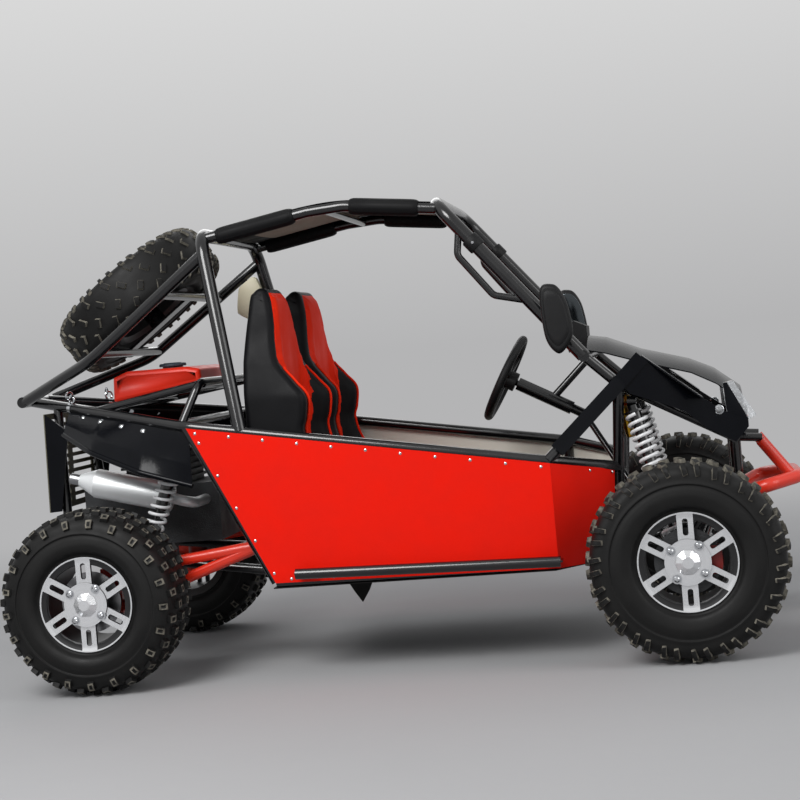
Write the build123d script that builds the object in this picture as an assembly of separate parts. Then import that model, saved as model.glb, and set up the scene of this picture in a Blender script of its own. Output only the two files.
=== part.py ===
from build123d import *
from collections import namedtuple
from math import atan2, cos, degrees, hypot, pi, radians, sin, tan
import os

# Two-seat tube-frame off-road buggy, in millimetres.
# X runs forward, Y to the left, Z up. The sizes below are measured from the
# rear axle line on the ground; every solid is moved by ORIGIN_X at the end, so
# that the origin lies under the middle of the bounding box.

# Running gear
WHEELBASE = 1780
FRONT_TRACK = 1226
REAR_TRACK = 1122
RIM_R = 143
RIM_SEAT_R = 127
AXLE_R = 15
AXLE_CLEARANCE = 0.05

# Tubes
MAIN_TUBE = 42
RAIL_TUBE = 34
RACK_TUBE = 36
CROSS_TUBE = 30
BRACE_TUBE = 26
ARM_TUBE = 24
LOOP_TUBE = 22
STEP_TUBE = 32
WELD_GAP = 0.3

# Cockpit
COCKPIT_HALF = 500
FLOOR_Z = 290
RAIL_REAR_X, RAIL_REAR_Z = 309, 779
RAIL_FOLD_X, RAIL_FOLD_Z = 1395, 594
FLOOR_REAR_X = 550
TAIL_X, TAIL_Z = -335, 889
HOOP_HALF = COCKPIT_HALF - 130
ROOF_HALF = COCKPIT_HALF - 155
SEAT_Y = COCKPIT_HALF / 2
SEAT_HALF = SEAT_Y - 25
SHEET = 3

# Steering
KINGPIN_INSET = 100
KINGPIN_Y = FRONT_TRACK / 2 - KINGPIN_INSET
STEER_ARM = 110
STEER_ARM_Z = 336

# Bumper
BUMPER_X, BUMPER_Z = 2135, 465

REAR_REACH = -TAIL_X + RACK_TUBE / 2
FRONT_REACH = BUMPER_X + MAIN_TUBE / 2
ORIGIN_X = (FRONT_REACH - REAR_REACH) / 2

FRONT_AXLE_X = WHEELBASE
TyreSize = namedtuple("TyreSize", "radius width rim_width")
FRONT_TYRE = TyreSize(radius=292, width=178, rim_width=140)
REAR_TYRE = TyreSize(radius=279.5, width=254, rim_width=210)

PARTS = {}


def mix(a, b, share):
    """The point at this share of the way from a to b."""
    return tuple(p + (q - p) * share for p, q in zip(a, b))


def at_x(a, b, x):
    """The point of the line a-b that has this X."""
    return mix(a, b, (x - a[0]) / (b[0] - a[0]))


def at_z(a, b, z):
    """The point of the line a-b that has this Z."""
    return mix(a, b, (z - a[2]) / (b[2] - a[2]))


def flip(points):
    """The same points on the other side of the vehicle."""
    return [(x, -y, z) for x, y, z in points]


def other_side(shape):
    """The mirror image about the vehicle's middle plane."""
    return mirror(shape, about=Plane.XZ)


def both(shape):
    """A solid and its mirror image."""
    return [shape, other_side(shape)]


def rod(points, diameter, bend=0.0):
    """A round bar along straight runs joined by bends."""
    if len(points) == 2:
        path = Line(*points)
    else:
        path = FilletPolyline(*points, radius=bend)
    start = Plane(origin=path @ 0, z_dir=path % 0)
    return sweep(start * Circle(diameter / 2), path=path)


def prism(outline, y0, y1):
    """A side outline of (x, z) points, as thick as from y0 to y1."""
    face = make_face(Polyline(*[(x, y0, z) for x, z in outline], close=True))
    return extrude(face, amount=y1 - y0, dir=(0, 1, 0))


def plate(outline, z0, z1):
    """A plan outline of (x, y) points, as thick as from z0 to z1."""
    face = make_face(Polyline(*[(x, y, z0) for x, y in outline], close=True))
    return extrude(face, amount=z1 - z0, dir=(0, 0, 1))


def block(x0, x1, y0, y1, z0, z1):
    """A rectangular block between two corners."""
    return Pos((x0 + x1) / 2, (y0 + y1) / 2, (z0 + z1) / 2) * Box(x1 - x0, y1 - y0, z1 - z0)


def drum(start, end, radius):
    """A cylinder between two points."""
    axis = Vector(*end) - Vector(*start)
    plane = Plane(origin=start, z_dir=axis.normalized())
    return extrude(plane * Circle(radius), amount=axis.length)


def largest(shape):
    """The biggest solid of a cut shape."""
    return shape.solids().sort_by(SortBy.VOLUME)[-1]


WELDED = []


def apart(a, b):
    """Whether two bounding boxes stand clear of each other."""
    return any(
        getattr(a.min, c) > getattr(b.max, c) or getattr(b.min, c) > getattr(a.max, c)
        for c in "XYZ"
    )


def weld(points, diameter, bend=0.0):
    """A frame tube, coped to sit on the tubes made before it."""
    shape = rod(points, diameter, bend)
    box = shape.bounding_box()
    for keep_clear, their_box in WELDED:
        if not apart(box, their_box):
            shape = shape - keep_clear
    shape = largest(shape)
    ends = [Vector(*p) for p in points]
    grown = list(points)
    first = (ends[0] - ends[1]).normalized() * WELD_GAP + ends[0]
    last = (ends[-1] - ends[-2]).normalized() * WELD_GAP + ends[-1]
    grown[0], grown[-1] = tuple(first), tuple(last)
    clear = rod(grown, diameter + 2 * WELD_GAP, bend)
    WELDED.append((clear, clear.bounding_box()))
    return shape


def weld_pair(points, diameter, bend=0.0):
    """The same tube on both sides."""
    return [weld(points, diameter, bend), weld(flip(points), diameter, bend)]


def weld_across(point, diameter, half=None):
    """A straight tube from side to side through this point."""
    x, y, z = point
    half = y if half is None else half
    return weld([(x, -half, z), (x, half, z)], diameter)


def fit_round(shape):
    """Cuts the welded tubes out of a piece that sits on them."""
    box = shape.bounding_box()
    for keep_clear, their_box in WELDED:
        if not apart(box, their_box):
            shape = shape - keep_clear
    return largest(shape)


def node(name, *solids):
    """Keeps the solids of one piece under its name."""
    PARTS[name] = Compound(children=[s for s in flat(solids)])


def add(name, *solids):
    """Adds more solids to a piece."""
    node(name, PARTS.get(name, []), *solids)


def flat(items):
    """All the single solids in nested lists of shapes."""
    for item in items:
        if isinstance(item, (list, tuple)):
            yield from flat(item)
        else:
            yield from item.solids()


# Frame points, on the left side
RAIL_TAIL = (TAIL_X, 70, TAIL_Z)
RAIL_REAR = (RAIL_REAR_X, COCKPIT_HALF, RAIL_REAR_Z)
RAIL_FOLD = (RAIL_FOLD_X, COCKPIT_HALF, RAIL_FOLD_Z)
FLOOR_REAR = (FLOOR_REAR_X, COCKPIT_HALF, FLOOR_Z)
FLOOR_FOLD = (RAIL_FOLD_X, COCKPIT_HALF, FLOOR_Z)
TOWER_FOOT = (1575, COCKPIT_HALF - 240, FLOOR_Z)
TOWER_TOP = (1615, COCKPIT_HALF - 128, 800)
RAIL_FRONT = at_z(TOWER_FOOT, TOWER_TOP, 549)
HOOP_FOOT = at_x(RAIL_REAR, RAIL_FOLD, 475)
HOOP_TOP = (368, HOOP_HALF, 1365)
HOOP_BEND = 90
PILLAR_FOOT = (1520, COCKPIT_HALF - 115, 893)
PILLAR_TOP = (1107, HOOP_HALF, 1393)
PILLAR_BEND = 80
NOSE_TOP = (1953, 135, 600)
NOSE_LOW = (1953, 135, 420)
KEEL_REAR = (1650, 170, 300)
ARM_RAIL_Z = 462
ARM_X = (1705, 1880)
PIVOT = at_z(RAIL_REAR, FLOOR_REAR, 395)
CRADLE_FRONT = (FLOOR_REAR_X, 280, FLOOR_Z)
CRADLE_REAR = (-190, 215, 390)
CRADLE_TOP = at_x(RAIL_TAIL, RAIL_REAR, -215)
ENGINE_HOOP_TOP = (345, COCKPIT_HALF - 60, 910)
CAGE_FRONT = (352, COCKPIT_HALF - 85, 906)
CAGE_REAR = at_x(RAIL_TAIL, RAIL_REAR, -60)
RACK_TAIL = (TAIL_X, 130, TAIL_Z)
RACK_KINK = (-30, COCKPIT_HALF - 160, 1004)
RACK_TOP = at_z(HOOP_FOOT, HOOP_TOP, 1305)
RACK_BAR_X = (0, 225)
SHOCK_TOP = at_x(RAIL_TAIL, RAIL_REAR, 268)
NOSE_POST_Y = 100
HORN_TIP = (2036, 120, 592)


def frame():
    """The welded tubes of floor, cockpit, hoops, roof, engine bay, nose and rack."""
    tail_bar = weld_across((TAIL_X, 150, TAIL_Z), RACK_TUBE)
    rails = weld_pair([RAIL_TAIL, RAIL_REAR, RAIL_FOLD, RAIL_FRONT], RAIL_TUBE, [110, 70])
    sills = weld_pair([FLOOR_REAR, FLOOR_FOLD, TOWER_FOOT], RAIL_TUBE, 70)
    floor_bars = [
        weld_across((x, half, FLOOR_Z), RAIL_TUBE)
        for x, half in ((FLOOR_REAR_X + 17, COCKPIT_HALF), (960, COCKPIT_HALF), (1370, COCKPIT_HALF))
    ]
    toe_bar = weld_across(TOWER_FOOT, RAIL_TUBE)
    posts = weld_pair([RAIL_REAR, FLOOR_REAR], RAIL_TUBE)
    mid_posts = weld_pair([RAIL_FOLD, FLOOR_FOLD], CROSS_TUBE)
    pivot_bar = weld_across(PIVOT, BRACE_TUBE)
    node("side_rails", rails, tail_bar)
    node("floor_frame", sills, floor_bars, toe_bar, posts, mid_posts, pivot_bar)

    hoop = [HOOP_FOOT, HOOP_TOP]
    node("main_hoop", weld(hoop + flip(hoop)[::-1], MAIN_TUBE, HOOP_BEND))

    cowl_bar = weld_across(PILLAR_FOOT, RAIL_TUBE, PILLAR_FOOT[1] + 18)
    pillars = [PILLAR_FOOT, PILLAR_TOP]
    front_hoop = weld(pillars + flip(pillars)[::-1], MAIN_TUBE, PILLAR_BEND)

    roof = [(370, ROOF_HALF, 1351), (709, ROOF_HALF, 1405), (820, ROOF_HALF, 1412), (1121, ROOF_HALF, 1376)]
    node("roof_rails", weld_pair(roof, RAIL_TUBE, 150), weld_across((765, ROOF_HALF, 1405), BRACE_TUBE))

    loop_y = PILLAR_FOOT[1] - 7
    loop = [
        at_x(PILLAR_FOOT, PILLAR_TOP, 1175),
        (1165, loop_y, 1228),
        (1265, loop_y, 1098),
        at_x(PILLAR_FOOT, PILLAR_TOP, 1372),
    ]
    node("front_hoop", front_hoop, cowl_bar, weld_pair(loop, LOOP_TUBE, 30))

    longerons = weld_pair([PILLAR_FOOT, TOWER_TOP, NOSE_TOP], CROSS_TUBE, 120)
    nose_cross = [weld_across(NOSE_TOP, CROSS_TUBE, 160), weld_across(NOSE_LOW, CROSS_TUBE, 160)]
    keels = weld_pair([TOWER_FOOT, KEEL_REAR, NOSE_LOW], CROSS_TUBE, 60)
    towers = weld_pair([TOWER_FOOT, TOWER_TOP], RAIL_TUBE)
    struts = weld_pair([RAIL_FOLD, TOWER_TOP], RAIL_TUBE)
    post = [(NOSE_TOP[0], NOSE_POST_Y, NOSE_TOP[2]), (NOSE_LOW[0], NOSE_POST_Y, NOSE_LOW[2])]
    nose_posts = weld_pair(post, RACK_TUBE)
    horns = weld_pair([(NOSE_TOP[0], HORN_TIP[1], NOSE_TOP[2]), HORN_TIP], BRACE_TUBE)
    arm_posts = [
        weld_pair([(x, ARM_IN_Y, ARM_RAIL_Z + 8), at_x(KEEL_REAR, NOSE_LOW, x)], BRACE_TUBE) for x in ARM_X
    ]
    arm_rail = [(ARM_X[0] - 40, ARM_IN_Y, ARM_RAIL_Z), (ARM_X[1] + 40, ARM_IN_Y, ARM_RAIL_Z)]
    arm_rails = weld_pair(arm_rail, BRACE_TUBE)
    ties = [weld_across((x, ARM_IN_Y, ARM_RAIL_Z), BRACE_TUBE) for x in ARM_X]
    node("front_frame", longerons, nose_cross, keels, towers, struts)
    add("front_frame", nose_posts, horns, arm_posts, arm_rails, ties)

    engine_hoop = [at_x(RAIL_TAIL, RAIL_REAR, 290), ENGINE_HOOP_TOP]
    cage_hoop = weld(engine_hoop + flip(engine_hoop)[::-1], BRACE_TUBE, 50)
    cage_rails = weld_pair([CAGE_FRONT, CAGE_REAR], BRACE_TUBE)
    cradle = weld_pair([CRADLE_FRONT, CRADLE_REAR, CRADLE_TOP], CROSS_TUBE, 120)
    cradle_bars = [weld_across(at_x(CRADLE_FRONT, CRADLE_REAR, x), BRACE_TUBE) for x in (-120, 270)]
    tank_bars = [weld_across(at_x(CAGE_FRONT, CAGE_REAR, x), LOOP_TUBE) for x in (60, 240)]
    shock_bar = weld_across(SHOCK_TOP, BRACE_TUBE)
    node("engine_cage", cage_hoop, cage_rails, cradle, cradle_bars, tank_bars, shock_bar)

    rack_sides = weld_pair([RACK_TAIL, RACK_KINK, RACK_TOP], RACK_TUBE, 150)
    rack_bars = [weld_across(at_x(RACK_KINK, RACK_TOP, x), CROSS_TUBE) for x in RACK_BAR_X]
    node("spare_rack", rack_sides, rack_bars)


def rack_slope():
    """The slope of the spare rack's upper run, in radians."""
    return atan2(RACK_TOP[2] - RACK_KINK[2], RACK_TOP[0] - RACK_KINK[0])


def lifted(point, slope, rise):
    """A point of the rack's middle line, moved up square to the rack."""
    return (point[0] - sin(slope) * rise, 0, point[2] + cos(slope) * rise)


# Tread blocks: place across the tyre, half sizes, skew, and shift in pitches
LugRow = namedtuple("LugRow", "side half_y half_x skew shift")
LUG_HEIGHT = 13
LUG_ROOT = 5
RIM_LIP = 9
TREAD_SIDES = 16
ANGLED_BARS = [
    LugRow(side=-0.62, half_y=26, half_x=13, skew=24, shift=0.5),
    LugRow(side=0, half_y=24, half_x=14, skew=-32, shift=0),
    LugRow(side=0.62, half_y=26, half_x=13, skew=24, shift=0.5),
]
SQUARE_KNOBS = [
    LugRow(side=-0.66, half_y=24, half_x=21, skew=0, shift=0.5),
    LugRow(side=0, half_y=28, half_x=21, skew=0, shift=0),
    LugRow(side=0.66, half_y=24, half_x=21, skew=0, shift=0.5),
]


def ring_section(y, radius):
    """A flat-sided ring outline square to the axle, with one flat side down."""
    across = Plane(origin=(0, y, 0), x_dir=(1, 0, 0), z_dir=(0, 1, 0)) * Rot(0, 0, 180 / TREAD_SIDES)
    return across * RegularPolygon(radius, TREAD_SIDES, major_radius=False)


def tyre(size):
    """A tyre about the Y axis: a flat-sided carcass with blocks round its tread."""
    w, rim = size.width / 2, size.rim_width / 2
    base = size.radius - LUG_HEIGHT
    steps = [(w, base * 0.82), (w - 4, base - 26), (w - 22, base - 5), (w - 40, base)]
    outer = [ring_section(-y, r) for y, r in steps] + [ring_section(y, r) for y, r in steps[::-1]]
    body = loft(outer, ruled=True)
    for side in (-1, 1):
        dish = [ring_section(side * (w + 1), base * 0.7), ring_section(side * (rim - RIM_LIP), RIM_R + 6)]
        body = body - loft(dish, ruled=True)
    body = body - Rot(90, 0, 0) * Cylinder(RIM_SEAT_R + 1, size.width)
    lugs = []
    for row in ANGLED_BARS if size is FRONT_TYRE else SQUARE_KNOBS:
        knob = block(-row.half_x, row.half_x, -row.half_y, row.half_y, base - LUG_ROOT, size.radius)
        lug = Pos(0, row.side * w, 0) * Rot(0, 0, row.skew) * knob
        for k in range(TREAD_SIDES):
            lugs.append(Rot(0, 180 + 360 / TREAD_SIDES * (k + row.shift), 0) * lug)
    return largest(body.fuse(*lugs))


SPOKES, SPOKE_HALF = 6, 23
DISC_BACK, DISC_FRONT = 15, 3
SLOT_HALF_X = 8
HUB, HUB_R = 18, 66
CAP_R, CAP_RISE, CAP_SIDES = 37, 14, 10


def rim(size, disc_y):
    """A wheel rim about the Y axis, its face towards -Y."""
    half = size.rim_width / 2
    inner = RIM_SEAT_R - RIM_LIP + 1
    seat = half - RIM_LIP + 0.2
    outline = [
        (inner, -half + RIM_LIP),
        (RIM_R - 10, -half + 3.5),
        (RIM_R - 4, -half),
        (RIM_R, -half),
        (RIM_R, -half + 3.5),
        (RIM_SEAT_R + 0.8, -seat),
        (RIM_SEAT_R + 0.8, seat),
        (RIM_R, half - 3.5),
        (RIM_R, half),
        (inner, half - 12),
    ]
    barrel = revolve(make_face(Polyline(*outline, close=True)), axis=Axis.Y)
    front, back = -half + DISC_FRONT, -half + DISC_BACK
    web = [(0, front), (RIM_R - 8.5, front), (inner + 3, -half + RIM_LIP), (inner + 3, back), (0, back)]
    disc = revolve(make_face(Polyline(*web, close=True)), axis=Axis.Y)
    for k in range(SPOKES):
        disc = disc - Rot(0, 360 / SPOKES * (k + 0.5), 0) * spoke_window(half)
        disc = disc - Rot(0, 360 / SPOKES * k, 0) * spoke_slot(half)
    hub = extrude(Plane.XZ * Circle(HUB_R), amount=HUB)
    foot = Plane.XZ.offset(HUB) * RegularPolygon(CAP_R, CAP_SIDES)
    crown = Plane.XZ.offset(HUB + CAP_RISE) * RegularPolygon(CAP_R - 20, CAP_SIDES)
    face = disc + Pos(0, disc_y, 0) * (hub + loft([foot, crown]))
    bore = Pos(0, disc_y + 1, 0) * extrude(Plane.XZ * Circle(AXLE_R + AXLE_CLEARANCE), amount=HUB + 3)
    return largest(barrel + face - bore)


def spoke_window(half):
    """The gap between two spokes, up from the hub, its sides along the spokes."""
    low, high = HUB_R - 3, RIM_R - 28
    slope = tan(pi / SPOKES)
    foot, head = [z * slope - SPOKE_HALF / cos(pi / SPOKES) for z in (low, high)]
    side = [(foot, low), (head, high), (head / 2, high + 7)]
    return prism(side + [(-x, z) for x, z in side[::-1]], -half, -half + DISC_BACK + 1)


def spoke_slot(half):
    """The slot in the outer half of a spoke."""
    slot = block(-SLOT_HALF_X, SLOT_HALF_X, -half, -half + DISC_BACK + 1, HUB_R + 10, RIM_R - 19)
    return fillet(slot.edges().filter_by(Axis.Y), SLOT_HALF_X - 1)


WheelPlace = namedtuple("WheelPlace", "code x y size")
WHEELS = [
    WheelPlace("fr", FRONT_AXLE_X, -FRONT_TRACK / 2, FRONT_TYRE),
    WheelPlace("fl", FRONT_AXLE_X, FRONT_TRACK / 2, FRONT_TYRE),
    WheelPlace("rr", 0, -REAR_TRACK / 2, REAR_TYRE),
    WheelPlace("rl", 0, REAR_TRACK / 2, REAR_TYRE),
]
SADDLE, SADDLE_HALF = 8, 30


def disc_place(size):
    """Where the wheel disc's inner face lies, out from the wheel's middle."""
    return -size.rim_width / 2 + DISC_BACK


def wheels():
    """Four road wheels and the spare."""
    for place in WHEELS:
        ring = tyre(place.size)
        well = rim(place.size, disc_place(place.size))
        if place.y > 0:
            ring, well = other_side(ring), other_side(well)
        move = Pos(place.x, place.y, place.size.radius)
        node("tyre_" + place.code, move * ring)
        node("rim_" + place.code, move * well)
    slope = rack_slope()
    low, high = [at_x(RACK_KINK, RACK_TOP, x) for x in RACK_BAR_X]
    rise = CROSS_TUBE / 2 + FRONT_TYRE.width / 2 + WELD_GAP
    centre = lifted(mix(low, high, 0.5), slope, rise)
    turn = Pos(*centre) * Rot(0, -degrees(slope), 0) * Rot(-90, 0, 0)
    node("spare_tyre", turn * tyre(FRONT_TYRE))
    node("spare_rim", turn * rim(FRONT_TYRE, disc_place(FRONT_TYRE)))
    back = disc_place(FRONT_TYRE)
    under = FRONT_TYRE.width / 2 + CROSS_TUBE / 2
    half = hypot(high[0] - low[0], high[2] - low[2]) / 2
    clamp = drum((0, back + WELD_GAP, 0), (0, under, 0), SADDLE_HALF)
    saddle = block(-half, half, under - SADDLE / 2, under + SADDLE / 2, -SADDLE_HALF, SADDLE_HALF)
    add("spare_rack", fit_round(turn * (clamp + saddle)))


ARM_IN_Y = 185
UPPER_ARM_X = (1778, 1888)
LOWER_BALL_Z, UPPER_BALL_Z = 212, 376
BALL_HALF = 11
RACK_X, RACK_Z, RACK_R = FRONT_AXLE_X - STEER_ARM, STEER_ARM_Z + 9, 9


def front_suspension():
    """Arms, dampers, springs and knuckles at the front."""
    lower = []
    for x in ARM_X:
        foot = at_x(KEEL_REAR, NOSE_LOW, x)
        lower.append(((x, foot[1], foot[2]), (FRONT_AXLE_X, KINGPIN_Y - 34, LOWER_BALL_Z)))
    upper = [((x, ARM_IN_Y, ARM_RAIL_Z), (FRONT_AXLE_X, KINGPIN_Y - 30, UPPER_BALL_Z)) for x in UPPER_ARM_X]
    arms = []
    for legs, ball_z in ((lower, LOWER_BALL_Z), (upper, UPPER_BALL_Z)):
        joint = (FRONT_AXLE_X, KINGPIN_Y - 2, ball_z)
        ball = Pos(*joint) * Cylinder(17, 2 * BALL_HALF)
        stem = drum((FRONT_AXLE_X, KINGPIN_Y - 40, ball_z), joint, 10)
        arms.append(fit_round(rod(legs[0], ARM_TUBE) + rod(legs[1], ARM_TUBE) + stem + ball))
    node("front_arms", [both(a) for a in arms])

    top = at_x(TOWER_TOP, NOSE_TOP, 1650)
    top = (top[0], top[1] - 6, top[2] - CROSS_TUBE / 2 - 19)
    perch = mix(*lower[0], 0.73)
    foot = (perch[0], perch[1], perch[2] + ARM_TUBE / 2 + 18.5)
    damper(top, foot)

    pin_low, pin_top = LOWER_BALL_Z + BALL_HALF + WELD_GAP, UPPER_BALL_Z - BALL_HALF - WELD_GAP
    knuckle = drum((FRONT_AXLE_X, KINGPIN_Y, pin_low), (FRONT_AXLE_X, KINGPIN_Y, pin_top), 16)
    face_y = FRONT_TRACK / 2 - disc_place(FRONT_TYRE)
    z = FRONT_TYRE.radius
    knuckle = knuckle + drum((FRONT_AXLE_X, KINGPIN_Y, z), (FRONT_AXLE_X, face_y - 1, z), 26)
    knuckle = knuckle + drum((FRONT_AXLE_X, face_y - 1, z), (FRONT_AXLE_X, face_y + 18, z), AXLE_R)
    brake = drum((FRONT_AXLE_X, face_y - 14, z), (FRONT_AXLE_X, face_y - 10, z), 95)
    caliper = block(FRONT_AXLE_X + 52, FRONT_AXLE_X + 98, face_y - 34, face_y - 9, z - 42, z + 42)
    knuckle = knuckle + brake + caliper
    arm = rod([(FRONT_AXLE_X, KINGPIN_Y, STEER_ARM_Z - 16), (RACK_X, KINGPIN_Y, STEER_ARM_Z - 16)], 20)
    eye = drum((RACK_X, KINGPIN_Y, STEER_ARM_Z - 27), (RACK_X, KINGPIN_Y, STEER_ARM_Z - 5), 14)
    knuckle = largest(knuckle + arm + eye)
    node("knuckle_left", knuckle)
    node("knuckle_right", other_side(knuckle))

    bar = drum((RACK_X, -KINGPIN_Y + 12, RACK_Z), (RACK_X, KINGPIN_Y - 12, RACK_Z), RACK_R)
    for y in (-KINGPIN_Y, KINGPIN_Y):
        bar = bar + Pos(RACK_X, y, RACK_Z) * Cylinder(14, 2 * RACK_R)
    node("tie_rods", bar)


COIL_TURNS, COIL_R = 7, 28
COIL_WIRE = 9
COIL_END = 45


def damper(top, foot):
    """A pair of dampers with their coil springs between two eyes."""
    axis = Vector(*foot) - Vector(*top)
    length = axis.length

    def share(s):
        return mix(top, foot, s / length)

    body = drum(share(14), share(length * 0.62), 19)
    shaft = drum(share(14), share(length - 12), 8)
    collar = drum(share(30), share(36), 33)
    low_collar = drum(share(length - 40), share(length - 34), 33)
    x, y, z = top
    eye = drum((x - 14, y, z), (x + 14, y, z), 16)
    x, y, z = foot
    low_eye = drum((x - 14, y, z), (x + 14, y, z), 16)
    whole = fit_round(body + shaft + collar + low_collar + eye + low_eye)
    add("dampers", both(whole))
    height = length - 2 * COIL_END
    coil = Helix(height / COIL_TURNS, height, COIL_R)
    wire = Plane(origin=coil @ 0, x_dir=(1, 0, 0), z_dir=coil % 0) * Rectangle(COIL_WIRE, COIL_WIRE)
    spring = Plane(origin=share(COIL_END), z_dir=axis.normalized()) * sweep(wire, path=coil, is_frenet=True)
    add("springs", both(spring))


REAR_ARM_Y = REAR_TRACK / 2 - REAR_TYRE.width / 2 - 36
REAR_DAMPER_Y = REAR_ARM_Y - 13


def rear_suspension():
    """Trailing arms with hub carriers, half shafts, dampers and springs."""
    z = REAR_TYRE.radius
    face_y = REAR_TRACK / 2 - disc_place(REAR_TYRE)
    y = REAR_ARM_Y
    sleeve = drum((PIVOT[0], y - 45, PIVOT[2]), (PIVOT[0], y + 45, PIVOT[2]), 22)
    arm = sleeve
    for dz in (58, -52):
        arm = arm + rod([(PIVOT[0], y, PIVOT[2]), (10, y, z + dz)], RAIL_TUBE)
    arm = arm + block(-32, 32, y - 20, y + 16, z - 70, z + 74)
    bore = drum((PIVOT[0], y - 60, PIVOT[2]), (PIVOT[0], y + 60, PIVOT[2]), BRACE_TUBE / 2 + WELD_GAP)
    arm = arm - bore
    arm = arm + drum((0, y, z), (0, face_y - 1, z), 30)
    arm = arm + drum((0, face_y - 1, z), (0, face_y + 18, z), AXLE_R)
    arm = largest(arm)
    node("rear_arms", both(arm))
    top = (SHOCK_TOP[0], REAR_DAMPER_Y, SHOCK_TOP[2] - BRACE_TUBE / 2 - 16.5)
    low = at_x((10, 0, z + 58), (PIVOT[0], 0, PIVOT[2]), 110)
    foot = (low[0], REAR_DAMPER_Y, low[2] + RAIL_TUBE / 2 + 18)
    damper(top, foot)
    shaft = drum((0, 96, z + 14), (0, y - 21, z), 13)
    shaft = shaft + drum((0, 150, z + 11), (0, 110, z + 13), 28)
    node("half_shafts", both(shaft + drum((0, y - 70, z + 1), (0, y - 30, z), 28)))


def engine():
    """The open engine with its gearbox, between the cradle tubes."""
    z = REAR_TYRE.radius + 14
    low = at_x(CRADLE_FRONT, CRADLE_REAR, -120)[2] + BRACE_TUBE / 2 + WELD_GAP
    case = block(-150, 300, -150, 150, low, low + 190)
    case = case + drum((0, -95, z), (0, 95, z), 80) + block(-80, 80, -95, 95, z, low + 20)
    head = block(-20, 190, -95, 95, low + 190, low + 330)
    fins = None
    for k in range(6):
        fin = block(-34, 204, -109, 109, low + 204 + 20 * k, low + 212 + 20 * k)
        fins = fin if fins is None else fins + fin
    clutch = drum((60, 150, low + 95), (60, 200, low + 95), 90)
    pulley = drum((240, 150, low + 80), (240, 200, low + 80), 60)
    whole = largest(case + head + fins + clutch + pulley)
    node("engine", fit_round(whole))


MUFFLER_Y = -300


def exhaust():
    """The muffler can with its tail cone and the pipe from the engine."""
    rear, front = (-55, MUFFLER_Y, 616), (187, MUFFLER_Y, 553)
    can = drum(rear, front, 46)
    slope = atan2(front[2] - rear[2], front[0] - rear[0])
    tip = (rear[0] - 55 * cos(slope), MUFFLER_Y, rear[2] - 55 * sin(slope))
    axis = Vector(*tip) - Vector(*rear)
    cone = loft([Plane(origin=p, z_dir=axis.normalized()) * Circle(r) for p, r in ((rear, 45), (tip, 20))])
    pipe = rod([mix(rear, front, 0.9), (255, MUFFLER_Y, 530), (255, -150.3, 530)], 34, 45)
    node("muffler", largest(can + cone + pipe))


TANK_TOP, TANK_HALF = 962, 200
CAP_X = 142


def fuel_tank():
    """The fuel tank on its two bars, with the filler cap."""
    bar = at_x(CAGE_FRONT, CAGE_REAR, 60)
    far = at_x(CAGE_FRONT, CAGE_REAR, 240)
    tilt = (far[2] - bar[2]) / (far[0] - bar[0])
    rise = LOOP_TUBE / 2 * hypot(1, tilt) + WELD_GAP

    def under(x):
        return bar[2] + rise + tilt * (x - bar[0])

    outline = [(-10, under(-10)), (288, under(288)), (284, TANK_TOP - 10), (240, TANK_TOP)]
    tank = prism(outline + [(40, TANK_TOP), (-6, TANK_TOP - 18)], -TANK_HALF, TANK_HALF)
    tank = fillet(tank.edges().filter_by(Axis.Y), 9)
    tank = fillet(tank.faces().sort_by(Axis.Z)[-1].edges().filter_by(Axis.X), 16)
    node("fuel_tank", fit_round(tank))
    neck = drum((CAP_X, 0, TANK_TOP), (CAP_X, 0, TANK_TOP + 4), 34)
    node("fuel_cap", neck + drum((CAP_X, 0, TANK_TOP + 4), (CAP_X, 0, TANK_TOP + 18), 45))


def panel_plan(z, out):
    """The corners of a side panel in plan at this height, this far out from the tubes."""
    share = (z - FLOOR_Z) / (RAIL_FOLD_Z - FLOOR_Z)
    side = COCKPIT_HALF + RAIL_TUBE / 2 + WELD_GAP + out
    fold = mix(FLOOR_FOLD, RAIL_FOLD, share)
    end = mix(TOWER_FOOT, RAIL_FRONT, share)
    lead = hypot(end[0] - fold[0], end[1] - fold[1])
    across = (RAIL_TUBE / 2 + WELD_GAP + out) / lead
    corner = (end[0] + (fold[1] - end[1]) * across, end[1] + (end[0] - fold[0]) * across, z)
    turn = (side - COCKPIT_HALF) * (lead - end[0] + fold[0]) / (fold[1] - end[1])
    return [(RAIL_REAR_X - 30, side, z), (fold[0] + turn, side, z), corner]


def side_panels():
    """The folded side panels, from the sills up to the upper rails."""
    sections = []
    for z in (FLOOR_Z - 40, RAIL_REAR_Z + 40):
        ring = panel_plan(z, 0) + panel_plan(z, SHEET)[::-1]
        sections.append(make_face(Polyline(*ring, close=True)))
    strip = loft(sections, ruled=True)
    drop = 4
    outline = [
        (RAIL_REAR_X + 4, RAIL_REAR_Z - drop),
        (RAIL_FOLD_X, RAIL_FOLD_Z - drop),
        (RAIL_FRONT[0] - 12, RAIL_FRONT[2] - drop),
        (TOWER_FOOT[0] - 12, FLOOR_Z - 20),
        (RAIL_FOLD_X, FLOOR_Z - 12),
        (FLOOR_REAR_X, FLOOR_Z - 2),
    ]
    panel = prism(outline, 0, COCKPIT_HALF + 100) & strip
    seam = RAIL_FOLD_X + RAIL_TUBE / 4
    side = panel & block(0, seam, 0, COCKPIT_HALF + 100, 0, RAIL_REAR_Z)
    kick = panel & block(seam + WELD_GAP, FRONT_AXLE_X, 0, COCKPIT_HALF + 100, 0, RAIL_REAR_Z)
    node("side_panels", both(fit_round(side)), both(fit_round(kick)))


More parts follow.
